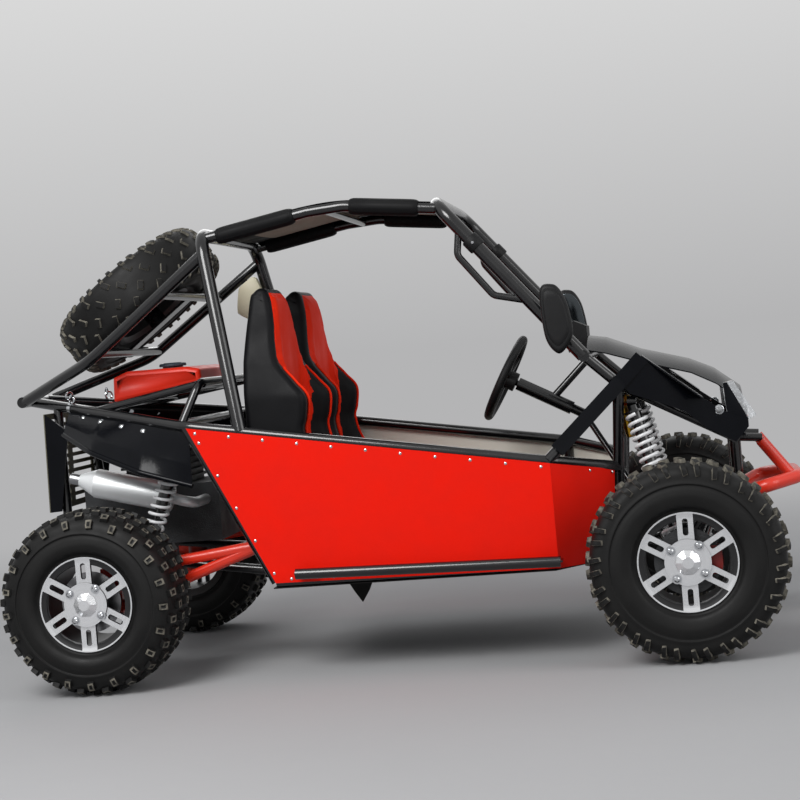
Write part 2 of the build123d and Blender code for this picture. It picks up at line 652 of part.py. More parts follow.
def floor():
    """The floor pan under the sills, and the skid fin below it."""
    top = FLOOR_Z - RAIL_TUBE / 2 - WELD_GAP
    half = COCKPIT_HALF + 10
    outline = [
        (FLOOR_REAR_X - 10, -half),
        (RAIL_FOLD_X, -half),
        (TOWER_FOOT[0] + 10, -TOWER_FOOT[1] - 8),
        (TOWER_FOOT[0] + 10, TOWER_FOOT[1] + 8),
        (RAIL_FOLD_X, half),
        (FLOOR_REAR_X - 10, half),
    ]
    low = top - SHEET
    fin = prism([(640, low), (780, low), (740, low - 90), (715, low - 128), (690, low - 90)], -6, 6)
    node("floor_pan", plate(outline, low, top) + fin)


def step_bars():
    """The step bars along the sills, on flat brackets."""
    y = COCKPIT_HALF + 72
    ends = [(625, y, 318), (1415, y, 304)]
    bar = rod(ends, STEP_TUBE)
    inside = COCKPIT_HALF + RAIL_TUBE / 2 + WELD_GAP + SHEET
    for x in (650, 1390):
        z = at_x(*ends, x)[2]
        bar = bar + block(x - 30, x + 30, inside, y, z - 3, z + 3)
    node("step_bars", both(bar))


SLEEVE_R = 27
SLEEVE_FROM, SLEEVE_TO = 0.08, 0.86


def roof():
    """The canvas roof, lying on the roof rails."""
    line = [(392, 1351), (709, 1405), (820, 1412), (1092, 1380)]
    gap = RAIL_TUBE / 2 + WELD_GAP + 0.4
    low = [(x, z + gap) for x, z in line]
    high = [(x, z + 4) for x, z in low]
    canvas = prism(low + high[::-1], -ROOF_HALF - 15, ROOF_HALF + 15)
    for start, end in ((line[0], line[1]), (line[2], line[3])):
        for y in (-ROOF_HALF, ROOF_HALF):
            ends = [(start[0], y, start[1]), (end[0], y, end[1])]
            canvas = canvas + drum(mix(*ends, SLEEVE_FROM), mix(*ends, SLEEVE_TO), SLEEVE_R)
    node("roof_canvas", fit_round(canvas))


BOLSTER = 75


def seats():
    """Two bucket seats with side bolsters."""
    low = FLOOR_Z + RAIL_TUBE / 2 + WELD_GAP
    back = [(545, low), (538, 440), (500, 560), (487, 700), (487, 940), (505, 1140)]
    back = back + [(522, 1178), (548, 1184), (568, 1165), (580, 1100)]
    middle = back + [(586, 900), (590, 650), (620, 490), (700, 455), (960, 480), (1000, 460), (1005, low)]
    wing = back + [(594, 960), (640, 890), (678, 842), (670, 780), (658, 735), (690, 650)]
    wing = wing + [(780, 580), (960, 545), (1000, 510), (1005, low)]
    shell = prism(middle, -SEAT_HALF, SEAT_HALF)
    for y in (-SEAT_HALF, SEAT_HALF - BOLSTER):
        shell = shell + prism(wing, y, y + BOLSTER)
    front = [
        (-SEAT_HALF, low),
        (SEAT_HALF, low),
        (SEAT_HALF, 860),
        (SEAT_HALF - 20, 960),
        (135, 1110),
        (115, 1190),
        (-115, 1190),
        (-135, 1110),
        (-SEAT_HALF + 20, 960),
        (-SEAT_HALF, 860),
    ]
    face = make_face(Polyline(*[(400, y, z) for y, z in front], close=True))
    seat = largest(shell & extrude(face, amount=700, dir=(1, 0, 0)))
    for name, y in (("seat_right", -SEAT_Y), ("seat_left", SEAT_Y)):
        node(name, fit_round(Pos(0, y, 0) * seat))


WHEEL_CENTRE = (1222, SEAT_Y, 832)
WHEEL_RAKE = radians(29)
WHEEL_R = 155
GRIP_R = 14
SHAFT_R, COLUMN_R = 10, 22
SHAFT_BORE = SHAFT_R + WELD_GAP
RACK_HALF = 130


def steering():
    """The steering wheel on its shaft, the column, the lower shaft and the rack case."""
    tilt = Plane(origin=WHEEL_CENTRE, x_dir=(0, 1, 0), z_dir=(-cos(WHEEL_RAKE), 0, sin(WHEEL_RAKE)))

    def down(distance):
        return tuple(tilt.from_local_coords((0, 0, -distance)))

    wheel = tilt * Torus(WHEEL_R - GRIP_R, GRIP_R) + drum(down(2), down(38), 32)
    for angle in (90, 210, 330):
        spoke = Rot(0, 0, angle) * (Pos((WHEEL_R - GRIP_R) / 2, 0, -6) * Box(WHEEL_R - 20, 26, 8))
        wheel = wheel + tilt * spoke
    node("steering_wheel", largest(wheel + drum(down(38), down(138), SHAFT_R)))

    tube = drum(down(45), down(245), COLUMN_R)
    bore = drum(down(44), down(246), SHAFT_BORE)
    joint = down(290)
    lower = drum(down(238), joint, 16)
    lower = lower + rod([joint, (RACK_X - 25, 60, RACK_Z + 70), (RACK_X, 40, RACK_Z + 10)], 20, 60)
    case = drum((RACK_X, -RACK_HALF, RACK_Z), (RACK_X, RACK_HALF, RACK_Z), 24)
    slide = drum((RACK_X, -RACK_HALF - 10, RACK_Z), (RACK_X, RACK_HALF + 10, RACK_Z), RACK_R + WELD_GAP)
    rail_low = ARM_RAIL_Z - BRACE_TUBE / 2 - WELD_GAP
    hanger = block(RACK_X + 2, ARM_X[0] + 13, -60, 60, RACK_Z + 4, rail_low)
    bracket = rod([down(170), (PILLAR_FOOT[0], WHEEL_CENTRE[1], PILLAR_FOOT[2])], BRACE_TUBE)
    column = largest(tube + (lower - bore) + case + hanger + bracket - bore - slide)
    node("steering_column", fit_round(column))


def dash():
    """The instrument pod on the cowl bar, the pedals and the mirrors."""
    x, z = PILLAR_FOOT[0], PILLAR_FOOT[2]
    r = RAIL_TUBE / 2
    outline = [(x - 60, z + 10), (x + 2, z + r), (x + 2, z + 90), (x - 40, z + 110), (x - 70, z + 60)]
    node("instrument_pod", fit_round(prism(outline, -90, 90)))
    pedals = []
    for y in (SEAT_Y - 95, SEAT_Y - 15):
        arm = rod([(1555, y, FLOOR_Z + 30), (1530, y, FLOOR_Z + 150)], 16)
        pad = block(1505, 1527, y - 30, y + 30, FLOOR_Z + 100, FLOOR_Z + 170)
        pedals.append(fit_round(arm + pad + block(1545, 1575, y - 12, y + 12, FLOOR_Z, FLOOR_Z + 40)))
    node("pedals", pedals)
    outline = [(1406, 1112), (1457, 1116), (1488, 1063), (1503, 958), (1454, 896), (1413, 950)]
    y = PILLAR_FOOT[1] + 55
    pod = prism(outline, y, y + 34)
    pod = fillet(pod.edges().filter_by(Axis.Y), 12)
    arm = rod([at_x(PILLAR_FOOT, PILLAR_TOP, 1440), (1440, y + 8, 1000)], 18)
    node("mirrors", both(fit_round(largest(pod + arm))))


def hood():
    """The hood, nose, front fenders and headlamps."""
    Row = namedtuple("Row", "x half crown edge")
    table = [
        Row(1524, 250, 952, 909),
        Row(1580, 250, 942, 896),
        Row(1685, 240, 897, 860),
        Row(1834, 225, 853, 815),
        Row(1908, 215, 818, 775),
        Row(1985, 205, 756, 712),
    ]
    outer, inner = [], []
    for x, half, crown, edge in table:
        for drop, keep in ((0, outer), (4, inner)):
            arc = ThreePointArc((x, -half, edge - drop), (x, 0, crown - drop), (x, half, edge - drop))
            base = Polyline((x, half, edge - drop), (x, half, 560), (x, -half, 560), (x, -half, edge - drop))
            keep.append(make_face(arc + base))
    skin = loft(outer, ruled=True) - loft(inner, ruled=True)
    lower = prism([(1520, 889), (1685, 820), (1834, 760), (1985, 630), (1990, 990), (1520, 990)], -260, 260)
    skin = skin & lower
    node("hood", fit_round(largest(skin)))


FENDER_OUT = COCKPIT_HALF - 110
FENDER_IN = FENDER_OUT - 125
FENDER_APEX = (1692, FENDER_OUT, 875)
NOSE_HALF = 305
LAMP_IN = 226
FENDER_SHEET = 4
BAND, BAND_SHEET = 45, 6


def band(start, end):
    """A flat strip between two points, its width upright."""
    run = Vector(*end) - Vector(*start)
    face = Plane(origin=start, x_dir=(0, 1, 0), z_dir=run.normalized()) * Rectangle(BAND_SHEET, BAND)
    return sweep(face, path=Line(start, end))


def front_fenders():
    """The angular front fenders with their bands and cheeks, and the fascia between them."""
    strut_top = RAIL_TUBE / 2 * hypot(1, 0.903) + 1
    foot = at_x(RAIL_FOLD, TOWER_TOP, 1540)
    low = [(1540, foot[2] + strut_top), (FENDER_APEX[0], FENDER_APEX[2]), (1862, 735)]
    high = [(x, z + 5) for x, z in low]
    ridge = prism(low + high[::-1], FENDER_IN, FENDER_OUT)
    plan = [(1630, FENDER_OUT), (1700, FENDER_OUT), (1900, NOSE_HALF), (1992, NOSE_HALF)]
    inside = [(x, y - FENDER_SHEET) for x, y in plan]
    strip = plate(plan + inside[::-1], 560, 920)
    outline = [
        (1630, 790),
        (FENDER_APEX[0], FENDER_APEX[2] + 2),
        (1779, 800),
        (1862, 737),
        (1925, 690),
        (1992, 664),
        (1992, 640),
        (1951, 597),
        (1864, 648),
        (1810, 700),
        (1733, 736),
        (1650, 768),
    ]
    cheek = prism(outline, 200, COCKPIT_HALF) & strip
    out = RAIL_TUBE / 2 + BAND_SHEET
    knee = (TOWER_TOP[0], TOWER_TOP[1] + out, TOWER_TOP[2])
    start = mix(RAIL_FOLD, TOWER_TOP, 0.14)
    strap = band((start[0], start[1] + out, start[2]), knee) + band(knee, FENDER_APEX)
    strap = strap + Pos(*knee) * Rot(90, 0, 0) * Cylinder(BAND / 2, BAND_SHEET)
    node("front_fenders", both(fit_round(ridge + cheek + strap)))
    half = NOSE_HALF - FENDER_SHEET - WELD_GAP
    fascia = block(1985, 1992, -half, half, 640, 658) + block(1985, 1992, -LAMP_IN + 4, LAMP_IN - 4, 658, 700)
    add("front_fenders", fascia)
    lamp = prism([(1925, 776), (1956, 780), (2018, 672), (1996, 661), (1930, 687)], LAMP_IN, half)
    node("headlamps", both(fillet(lamp.edges().filter_by(Axis.Y), 5)))


LIP = 16
GRILLE_HALF = 228
GRILLE_SHEET = 5
GRILLE_LOW, GRILLE_TOP = (-241, 527), (-234, 846)
SLOT_ROWS, SLOT_HALF, SLOT_RISE = 11, 95, 14


def rear_fenders():
    """The rear fenders with their rolled lips, the rear posts and the slotted rear grille."""
    Row = namedtuple("Row", "x out low_z")
    rows = [Row(318, 18, 600), Row(150, 108, 652), Row(-20, 150, 718), Row(-158, 92, 776)]
    faces, edge = [], []
    for x, out, low_z in rows:
        rail = at_x(RAIL_TAIL, RAIL_REAR, min(x, RAIL_REAR_X))
        low_y = rail[1] + out
        top = (rail[1] + 8, rail[2] - 8)
        knee = (top[0] * 0.35 + low_y * 0.65 + 6, top[1] * 0.35 + low_z * 0.65 + 6)
        spine = [top, knee, (low_y, low_z)]
        skin = spine + [(y - SHEET, z - SHEET) for y, z in spine[::-1]]
        faces.append(make_face(Polyline(*[(x, y, z) for y, z in skin], close=True)))
        edge.append((x, low_y, low_z))
    lip = rod(edge, LIP, 120)
    node("rear_fenders", both(fit_round(loft(faces, ruled=True) + lip)))
    inside = GRILLE_HALF + WELD_GAP
    post = prism([GRILLE_TOP, (-159, 785), (-203, 529), GRILLE_LOW], inside, inside + FENDER_SHEET)
    add("rear_fenders", both(fit_round(post)))
    outline = [GRILLE_LOW, GRILLE_TOP, (GRILLE_TOP[0] - GRILLE_SHEET, GRILLE_TOP[1])]
    grille = prism(outline + [(GRILLE_LOW[0] - GRILLE_SHEET, GRILLE_LOW[1])], -GRILLE_HALF, GRILLE_HALF)
    pitch = (GRILLE_TOP[1] - GRILLE_LOW[1]) / (SLOT_ROWS + 1)
    for k in range(SLOT_ROWS):
        z = GRILLE_LOW[1] + pitch * (k + 1)
        for y in (-GRILLE_HALF / 2, GRILLE_HALF / 2):
            grille = grille - Pos(GRILLE_LOW[0], y, z) * Box(60, 2 * SLOT_HALF, SLOT_RISE)
    node("rear_grille", fit_round(grille))


def bottle():
    """The overflow bottle in the corner of the left hoop leg and the rack."""
    y = HOOP_HALF - 18
    outline = [(300, 1224), (352, 1270), (372, 1262), (420, 1110), (360, 1090), (285, 1130)]
    node("overflow_bottle", fit_round(prism(outline, y, y + 40)))


def bumper():
    """The front bumper hoop with its upper tubes."""
    loop = [(NOSE_LOW[0], 135, NOSE_LOW[2]), (2035, 235, 452), (BUMPER_X, 130, BUMPER_Z)]
    low = FilletPolyline(*(loop + flip(loop)[::-1]), radius=[35, 55, 55, 35])
    start = Plane(origin=low @ 0, z_dir=low % 0)
    hoop = sweep(start * Circle(MAIN_TUBE / 2), path=low)
    for y in (-HORN_TIP[1], HORN_TIP[1]):
        hoop = hoop + rod([(HORN_TIP[0] - 4, y, HORN_TIP[2] - 8), (BUMPER_X - 16, y, BUMPER_Z)], RACK_TUBE)
    node("bumper", fit_round(hoop))


def place_all():
    """Moves every piece so that the origin lies under the middle of the box."""
    os.makedirs("parts", exist_ok=True)
    for name, shape in PARTS.items():
        export_step(Pos(-ORIGIN_X, 0, 0) * shape, f"parts/{name}.step")


frame()
wheels()
front_suspension()
rear_suspension()
engine()
exhaust()
fuel_tank()
side_panels()
floor()
step_bars()
roof()
seats()
steering()
dash()
hood()
front_fenders()
rear_fenders()
bottle()
bumper()
place_all()
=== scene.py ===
"""Dresses the two-seat off-road buggy: finishes, tyres, coils, seats, canvas and small fittings."""
import logging
from dataclasses import dataclass
from enum import Enum
from math import cos, pi, radians, sin

import bmesh
import bpy
import numpy as np
from mathutils import Matrix


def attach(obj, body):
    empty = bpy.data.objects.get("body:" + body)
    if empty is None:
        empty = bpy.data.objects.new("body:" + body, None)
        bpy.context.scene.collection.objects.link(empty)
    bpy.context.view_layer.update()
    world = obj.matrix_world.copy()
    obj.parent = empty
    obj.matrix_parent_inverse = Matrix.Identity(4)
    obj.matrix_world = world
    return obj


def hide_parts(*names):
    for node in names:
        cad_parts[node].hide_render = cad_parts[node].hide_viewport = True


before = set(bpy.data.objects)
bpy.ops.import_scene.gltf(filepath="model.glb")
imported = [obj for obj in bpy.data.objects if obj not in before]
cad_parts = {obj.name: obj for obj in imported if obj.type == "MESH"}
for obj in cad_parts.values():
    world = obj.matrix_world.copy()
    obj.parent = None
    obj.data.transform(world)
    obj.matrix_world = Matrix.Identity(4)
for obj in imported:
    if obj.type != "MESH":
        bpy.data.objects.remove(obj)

LOG = logging.getLogger("buggy")
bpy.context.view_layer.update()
AXLE_LINE_MM = 901.5
Array = np.ndarray
Points = Array | list | tuple
Point = tuple[float, float, float]
Obj = bpy.types.Object
Tree = bpy.types.NodeTree
Material = bpy.types.Material
Socket = bpy.types.NodeSocket


def row(points: Points) -> Array:
    """Turns millimetres from the rear axle line into the frame's metres."""
    return (np.asarray(points, dtype=float) - (AXLE_LINE_MM, 0.0, 0.0)) / 1000.0


def unit(vectors: Points) -> Array:
    """The same directions, each of length one."""
    vectors = np.asarray(vectors, dtype=float)
    return vectors / np.linalg.norm(vectors, axis=-1, keepdims=True)


def linear(colour: str) -> tuple[float, float, float, float]:
    """Turns an sRGB hex colour into linear light.

    Args:
        colour: six hex digits after a hash sign.
    Returns:
        Red, green, blue and a full alpha.
    """
    parts = np.array([int(colour[k:k + 2], 16) for k in (1, 3, 5)]) / 255.0
    light = np.where(parts <= 0.04045, parts / 12.92, ((parts + 0.055) / 1.055) ** 2.4)
    return (*light.tolist(), 1.0)


def smooth_line(knots: Points, count: int, closed: bool = False) -> Array:
    """Carries cubics through the knots, with half the neighbours' span as the slope at each.

    Args:
        knots: the points, in any number of columns.
        count: how many points to return.
        closed: whether the last knot joins the first.
    Returns:
        Points at even steps of knot number.
    """
    knots = np.asarray(knots, dtype=float)
    n = len(knots)
    spans = n if closed else n - 1
    u = np.linspace(0.0, spans, count, endpoint=not closed)
    k = np.minimum(u.astype(int), spans - 1)
    f = (u - k)[:, None]
    pick = [np.mod(k + d, n) if closed else np.clip(k + d, 0, n - 1) for d in (-1, 0, 1, 2)]
    a, b, c, d = (knots[p] for p in pick)
    return b + 0.5 * f * (c - a + f * (2 * a - 5 * b + 4 * c - d + f * (3 * (b - c) + d - a)))


def rounded(corners: Points, share: float = 0.22) -> Array:
    """Splits each corner of an outline into two knots, so that a smooth line through them rounds it.

    Args:
        corners: the outline's corners.
        share: how far along its two edges each corner is cut, as a share of the edge.
    Returns:
        Twice as many points.
    """
    corners = np.asarray(corners, dtype=float)
    ends = [np.roll(corners, step, axis=0) for step in (1, -1)]
    knots = np.stack([corners + share * (end - corners) for end in ends], axis=1)
    return knots.reshape(-1, corners.shape[1])


def placing(origin: Points, x: Points, y: Points, z: Points) -> Array:
    """A 4x4 placing from an origin in metres and its three axes."""
    place = np.eye(4)
    place[:3] = np.column_stack([x, y, z, origin])
    return place


def facing(origins: Array, axis: Points) -> Array:
    """One placing for each origin, with its Z along the axis.

    Args:
        origins: points in metres, one to a line.
        axis: the direction, one for all.
    Returns:
        Placings, one to an origin.
    """
    z = unit(axis)
    side = unit(np.cross(z, (0.31, 0.17, 0.94) if abs(z[2]) < 0.9 else (1.0, 0.0, 0.0)))
    places = np.tile(np.eye(4), (len(origins), 1, 1))
    places[:, :3, :3] = np.column_stack([side, np.cross(z, side), z])
    places[:, :3, 3] = origins
    return places


def around(count: int, radius: float, height: float, start_deg: float = 0.0) -> Array:
    """Unturned placings at even steps round Z: x is radius cos a and y is radius sin a.

    Args:
        count: how many.
        radius: the circle's radius in mm.
        height: the circle's height in mm.
        start_deg: the first one's angle.
    Returns:
        The placings.
    """
    angle = radians(start_deg) + np.arange(count) * 2 * pi / count
    spots = [radius * np.cos(angle), radius * np.sin(angle), np.full(count, height)]
    places = np.tile(np.eye(4), (count, 1, 1))
    places[:, :3, 3] = np.column_stack(spots) / 1000.0
    return places


@dataclass
class Skin:
    """A surface under way: points in metres, and groups of faces with their finish number."""

    points: Array
    faces: list[tuple[Array, int]]

    @staticmethod
    def grid(points: Array, wrap: bool = False, ends: bool = False) -> "Skin":
        """Joins a grid of points by four-sided faces.

        Args:
            points: an array of (u, v, 3).
            wrap: whether the last u joins the first.
            ends: whether the first and last v are closed by flat faces.
        Returns:
            The surface.
        """
        index = np.arange(points.shape[0] * points.shape[1]).reshape(points.shape[:2])
        rings = np.vstack([index, index[:1]]) if wrap else index
        corners = [rings[:-1, :-1], rings[1:, :-1], rings[1:, 1:], rings[:-1, 1:]]
        faces = [(np.stack(corners, axis=-1).reshape(-1, 4), 0)]
        if ends:
            faces += [(index[:, :1].T, 0), (index[::-1, -1:].T, 0)]
        return Skin(points.reshape(-1, 3), faces)

    @staticmethod
    def turned(profile: Points, steps: int, closed: bool = False, ribs: Point = (0, 0.0, 0.0)) -> "Skin":
        """Turns a profile of (radius, height) in mm about Z: x is r cos a and y is r sin a.

        Args:
            profile: the points; those on the axis close it.
            steps: points round the axis.
            closed: whether the last point joins the first, as in a ring.
            ribs: how many ribs, how high in mm, and from which radius out they stand.
        Returns:
            The surface.
        """
        profile = np.asarray(profile, dtype=float)
        profile = np.vstack([profile, profile[:1]]) if closed else profile
        angle = np.linspace(0.0, 2 * pi, steps, endpoint=False)[:, None]
        count, rise, start = ribs
        radius = profile[:, 0] + rise * np.cos(count * angle) * (profile[:, 0] > start)
        height = profile[:, 1] + 0 * angle
        ring = np.stack([radius * np.cos(angle), radius * np.sin(angle), height], axis=-1)
        return Skin.grid(ring / 1000.0, wrap=True, ends=not closed)

    @staticmethod
    def torus(major: float, minor: float, steps: int, sides: int = 10) -> "Skin":
        """A ring about Z: the radius is major + minor cos b and the height minor sin b, in mm."""
        bend = np.linspace(0.0, 2 * pi, sides, endpoint=False)
        profile = np.column_stack([major + minor * np.cos(bend), minor * np.sin(bend)])
        return Skin.turned(profile, steps, closed=True)

    @staticmethod
    def pillow(outline: Points, middle: float, half: float, inset: float) -> "Skin":
        """A flat form with rounded rims, in mm.

        At angle t from -90 to 90 degrees the section lies at middle + half sin t, and is drawn in towards
        the outline's centre by inset (1 - cos t).

        Args:
            outline: knots in (x, z).
            middle: the y of its middle plane.
            half: half its thickness along y.
            inset: how far its rims are drawn in.
        Returns:
            The surface.
        """
        ring = smooth_line(outline, 80, closed=True)
        centre = ring.mean(axis=0)
        reach = np.linalg.norm(ring - centre, axis=1).mean()
        turn = np.linspace(-pi / 2, pi / 2, 17)
        share = 1.0 - inset * (1.0 - np.cos(turn)) / reach
        flat = centre + (ring - centre)[:, None] * share[:, None]
        depth = np.broadcast_to(middle + half * np.sin(turn), flat.shape[:2])
        points = row(np.stack([flat[..., 0], depth, flat[..., 1]], axis=-1))
        return Skin.grid(points, wrap=True, ends=True)

    @staticmethod
    def tube(path: Array, radius: float, sides: int, up: Points) -> "Skin":
        """Carries a circle along a path: each ring lies square to the path, turned from the up direction.

        Args:
            path: points.
            radius: the circle's radius, in the path's units.
            sides: points round the circle.
            up: a direction that the path never runs along.
        Returns:
            The surface.
        """
        along = unit(np.gradient(path, axis=0))
        side = unit(np.cross(along, up))
        top = np.cross(side, along)
        angle = np.linspace(0.0, 2 * pi, sides, endpoint=False)[:, None, None]
        ring = path + radius * (np.cos(angle) * side + np.sin(angle) * top)
        return Skin.grid(ring, wrap=True, ends=True)

    def copies(self, places: Array) -> "Skin":
        """Repeats the surface.

        Args:
            places: 4x4 placings, one to a copy.
        Returns:
            All the copies as one.
        """
        count = len(self.points)
        full = np.column_stack([self.points, np.ones(count)])
        points = np.einsum("kij,nj->kni", places[:, :3], full).reshape(-1, 3)
        step = np.arange(len(places))[:, None, None] * count
        return Skin(points, [((f + step).reshape(-1, f.shape[1]), m) for f, m in self.faces])

    def at(self, axis: Points, *spots: Points) -> "Skin":
        """Repeats the surface at spots in mm from the axle line, with its Z along the axis."""
        return self.copies(facing(row(spots), axis))

    def both_sides(self) -> "Skin":
        """The surface and its mirror image across the vehicle's middle plane."""
        return self.copies(np.stack([np.eye(4), np.diag([1.0, -1.0, 1.0, 1.0])]))

    def painted(self, finish: int) -> "Skin":
        """The same surface in another finish."""
        return Skin(self.points, [(f, finish) for f, _ in self.faces])

    @staticmethod
    def join(*skins: "Skin") -> "Skin":
        """Several surfaces as one."""
        starts = np.cumsum([0] + [len(s.points) for s in skins])
        faces = [(f + start, m) for s, start in zip(skins, starts) for f, m in s.faces]
        return Skin(np.vstack([s.points for s in skins]), faces)


def add(tree: Tree, kind: str, inputs: dict, out: int | str = 0, **settings: object) -> Socket | None:
    """Adds one node.

    Args:
        tree: the node tree.
        kind: the node's type name.
        inputs: values or sockets by input name or number.
        out: the name or number of the output to hand back.
        settings: the node's own properties.
    Returns:
        That output, or nothing where the node has none.
    """
    node = tree.nodes.new(kind)
    for key, value in settings.items():
        setattr(node, key, value)
    for key, value in inputs.items():
        if isinstance(value, Socket):
            tree.links.new(value, node.inputs[key])
        else:
            node.inputs[key].default_value = value
    return node.outputs[out] if node.outputs else None


def calc(tree: Tree, operation: str, *values: Socket | float, clamp: bool = False) -> Socket:
    """One step of arithmetic on numbers."""
    return add(tree, "ShaderNodeMath", dict(enumerate(values)), operation=operation, use_clamp=clamp)


def vector(tree: Tree, operation: str, *values: Socket | Point) -> Socket:
    """One step of arithmetic on vectors, which gives a number where it measures."""
    out = "Value" if operation in ("DOT_PRODUCT", "LENGTH") else 0
    return add(tree, "ShaderNodeVectorMath", dict(enumerate(values)), out, operation=operation)


def ramp(tree: Tree, value: Socket, start: float, end: float, low: float = 0.0, high: float = 1.0) -> Socket:
    """Maps the span from start to end onto the one from low to high, held at both ends."""
    return add(tree, "ShaderNodeMapRange", dict(enumerate((value, start, end, low, high))))


def blend(tree: Tree, share: Socket, first: Socket | str, second: Socket | str) -> Socket:
    """Mixes two colours, each a socket or an sRGB hex colour."""
    ends = [linear(c) if isinstance(c, str) else c for c in (first, second)]
    return add(tree, "ShaderNodeMix", {0: share, 6: ends[0], 7: ends[1]}, 2, data_type="RGBA")


def blank(name: str) -> tuple[Material, Tree]:
    """A new material with its empty node tree."""
    made = bpy.data.materials.new(name)
    made.use_nodes = True
    made.node_tree.nodes.clear()
    return made, made.node_tree


def shaded(tree: Tree, inputs: dict) -> None:
    """Ends a material's tree with its shader."""
    shader = add(tree, "ShaderNodeBsdfPrincipled", inputs)
    add(tree, "ShaderNodeOutputMaterial", {"Surface": shader})


class Grain(Enum):
    """What the surface of a material shows close by."""

    PEEL = "the soft ripple of sprayed paint"
    GRIT = "the fine texture of a moulding tool"
    CAST = "the pits of a sand mould"
    BRUSH = "long scratches along one direction"
    LATHE = "rings left by turning"
    HIDE = "the pebbles of embossed vinyl"
    WEAVE = "crossing threads"


@dataclass(frozen=True)
class Finish:
    """A real material: its colours, shine and close-up grain."""

    name: str
    colour: str
    second: str
    rough: float
    grain: Grain
    grain_mm: float
    depth: float = 0.1
    metallic: float = 0.0
    coat: float = 0.0
    vary: float = 0.25
    patch_mm: float = 90.0
    axis: Point = (1.0, 0.0, 0.0)
    centre: Point = (0.0, 0.0, 0.0)
    sheen: float = 0.0
    clear: float = 0.0
    ior: float = 1.5
    specular: float = 0.5
    inside: str = ""

    def height(self, tree: Tree, where: Socket) -> Socket:
        """Draws the grain as a height from 0 to 1.

        Args:
            tree: the node tree.
            where: the place on the surface.
        Returns:
            The height.
        """
        scale = 1000.0 / self.grain_mm
        if self.grain in (Grain.PEEL, Grain.GRIT):
            detail = 1.0 if self.grain is Grain.PEEL else 5.0
            return add(tree, "ShaderNodeTexNoise", {"Vector": where, "Scale": scale, "Detail": detail})
        if self.grain in (Grain.CAST, Grain.HIDE):
            feature = "SMOOTH_F1" if self.grain is Grain.CAST else "DISTANCE_TO_EDGE"
            cells = {"Vector": where, "Scale": scale}
            return add(tree, "ShaderNodeTexVoronoi", cells, "Distance", feature=feature)
        if self.grain is Grain.BRUSH:
            keep = tuple(scale * (0.02 if abs(a) > 0.5 else 1.0) for a in self.axis)
            long = add(tree, "ShaderNodeMapping", {"Vector": where, "Scale": keep})
            return add(tree, "ShaderNodeTexNoise", {"Vector": long, "Scale": 1.0})
        if self.grain is Grain.LATHE:
            from_hub = vector(tree, "SUBTRACT", where, self.centre)
            radius = vector(tree, "LENGTH", vector(tree, "CROSS_PRODUCT", from_hub, self.axis))
            return add(tree, "ShaderNodeTexNoise", {"W": radius, "Scale": scale}, noise_dimensions="1D")
        wave = {"Vector": where, "Scale": scale / 6.4, "Distortion": 0.6}
        threads = [add(tree, "ShaderNodeTexWave", wave, "Fac", bands_direction=way) for way in ("X", "Y")]
        return calc(tree, "MAXIMUM", *threads)

    def lined(self, tree: Tree, where: Socket, tint: Socket) -> Socket:
        """Shows the inner coat where the surface looks towards the vehicle's middle plane.

        Args:
            tree: the node tree.
            where: the place on the surface.
            tint: the outer colour.
        Returns:
            The colour.
        """
        normal = add(tree, "ShaderNodeTexCoord", {}, "Normal")
        across = [add(tree, "ShaderNodeSeparateXYZ", {0: value}, "Y") for value in (where, normal)]
        inner = calc(tree, "LESS_THAN", calc(tree, "MULTIPLY", *across), -0.05)
        return blend(tree, inner, tint, self.inside)

    def material(self) -> Material:
        """Makes the material once: two tones mixed by soft patches, shine and bump from the grain.

        Returns:
            The material.
        """
        made = bpy.data.materials.get(self.name)
        if made:
            return made
        made, tree = blank(self.name)
        where = add(tree, "ShaderNodeTexCoord", {}, "Object")
        height = self.height(tree, where)
        patches = {"Vector": where, "Scale": 1000.0 / self.patch_mm, "Detail": 4.0}
        patch = add(tree, "ShaderNodeTexNoise", patches)
        share = ramp(tree, patch, 0.35, 0.75, 0.0, self.vary)
        grime = calc(tree, "MULTIPLY_ADD", height, 0.5 * self.vary, share, clamp=True)
        tint = blend(tree, grime, self.colour, self.second)
        relief = {"Height": height, "Strength": self.depth, "Distance": self.grain_mm / 1000.0}
        shaded(tree, {
            "Base Color": self.lined(tree, where, tint) if self.inside else tint,
            "Roughness": ramp(tree, patch, 0.3, 0.7, self.rough * 0.85, min(self.rough * 1.2, 1.0)),
            "Normal": add(tree, "ShaderNodeBump", relief),
            "Metallic": self.metallic,
            "Specular IOR Level": self.specular,
            "Coat Weight": self.coat,
            "Coat Roughness": 0.06,
            "Sheen Weight": self.sheen,
            "Transmission Weight": self.clear,
            "IOR": self.ior,
        })
        return made


# Powder-coated steel tube: deep black with a wet shine and a soft ripple.
FRAME_BLACK = Finish("powder_coated_steel_black", "#060608", "#101013", 0.22, Grain.PEEL, 4.0, 0.05,
                     coat=0.4)
# Sprayed sheet steel: an even orange-red with a low shine, and pale primer on the side facing the cockpit.
PANEL_RED = Finish("sprayed_sheet_steel_red", "#e61602", "#d41404", 0.46, Grain.PEEL, 6.0, 0.03, vary=0.4,
                   specular=0.12, inside="#e2ded2")
# Painted steel tube of arms and bumper: red with the ripple of brushed-on dust.
ARM_RED = Finish("painted_steel_tube_red", "#dc2c14", "#b93a24", 0.34, Grain.PEEL, 5.0, 0.06, coat=0.2)
# Black sheet steel of the floor: dull, with grit and dust.
FLOOR_STEEL = Finish("painted_floor_steel", "#090909", "#1d1b19", 0.6, Grain.GRIT, 3.0, 0.2, specular=0.25)
# Vulcanised tyre rubber: almost black, with a dry satin shine on the side walls.
RUBBER = Finish("vulcanised_tyre_rubber", "#0b0b0b", "#1b1a19", 0.55, Grain.GRIT, 2.5, 0.2, patch_mm=60.0,
                specular=0.25)
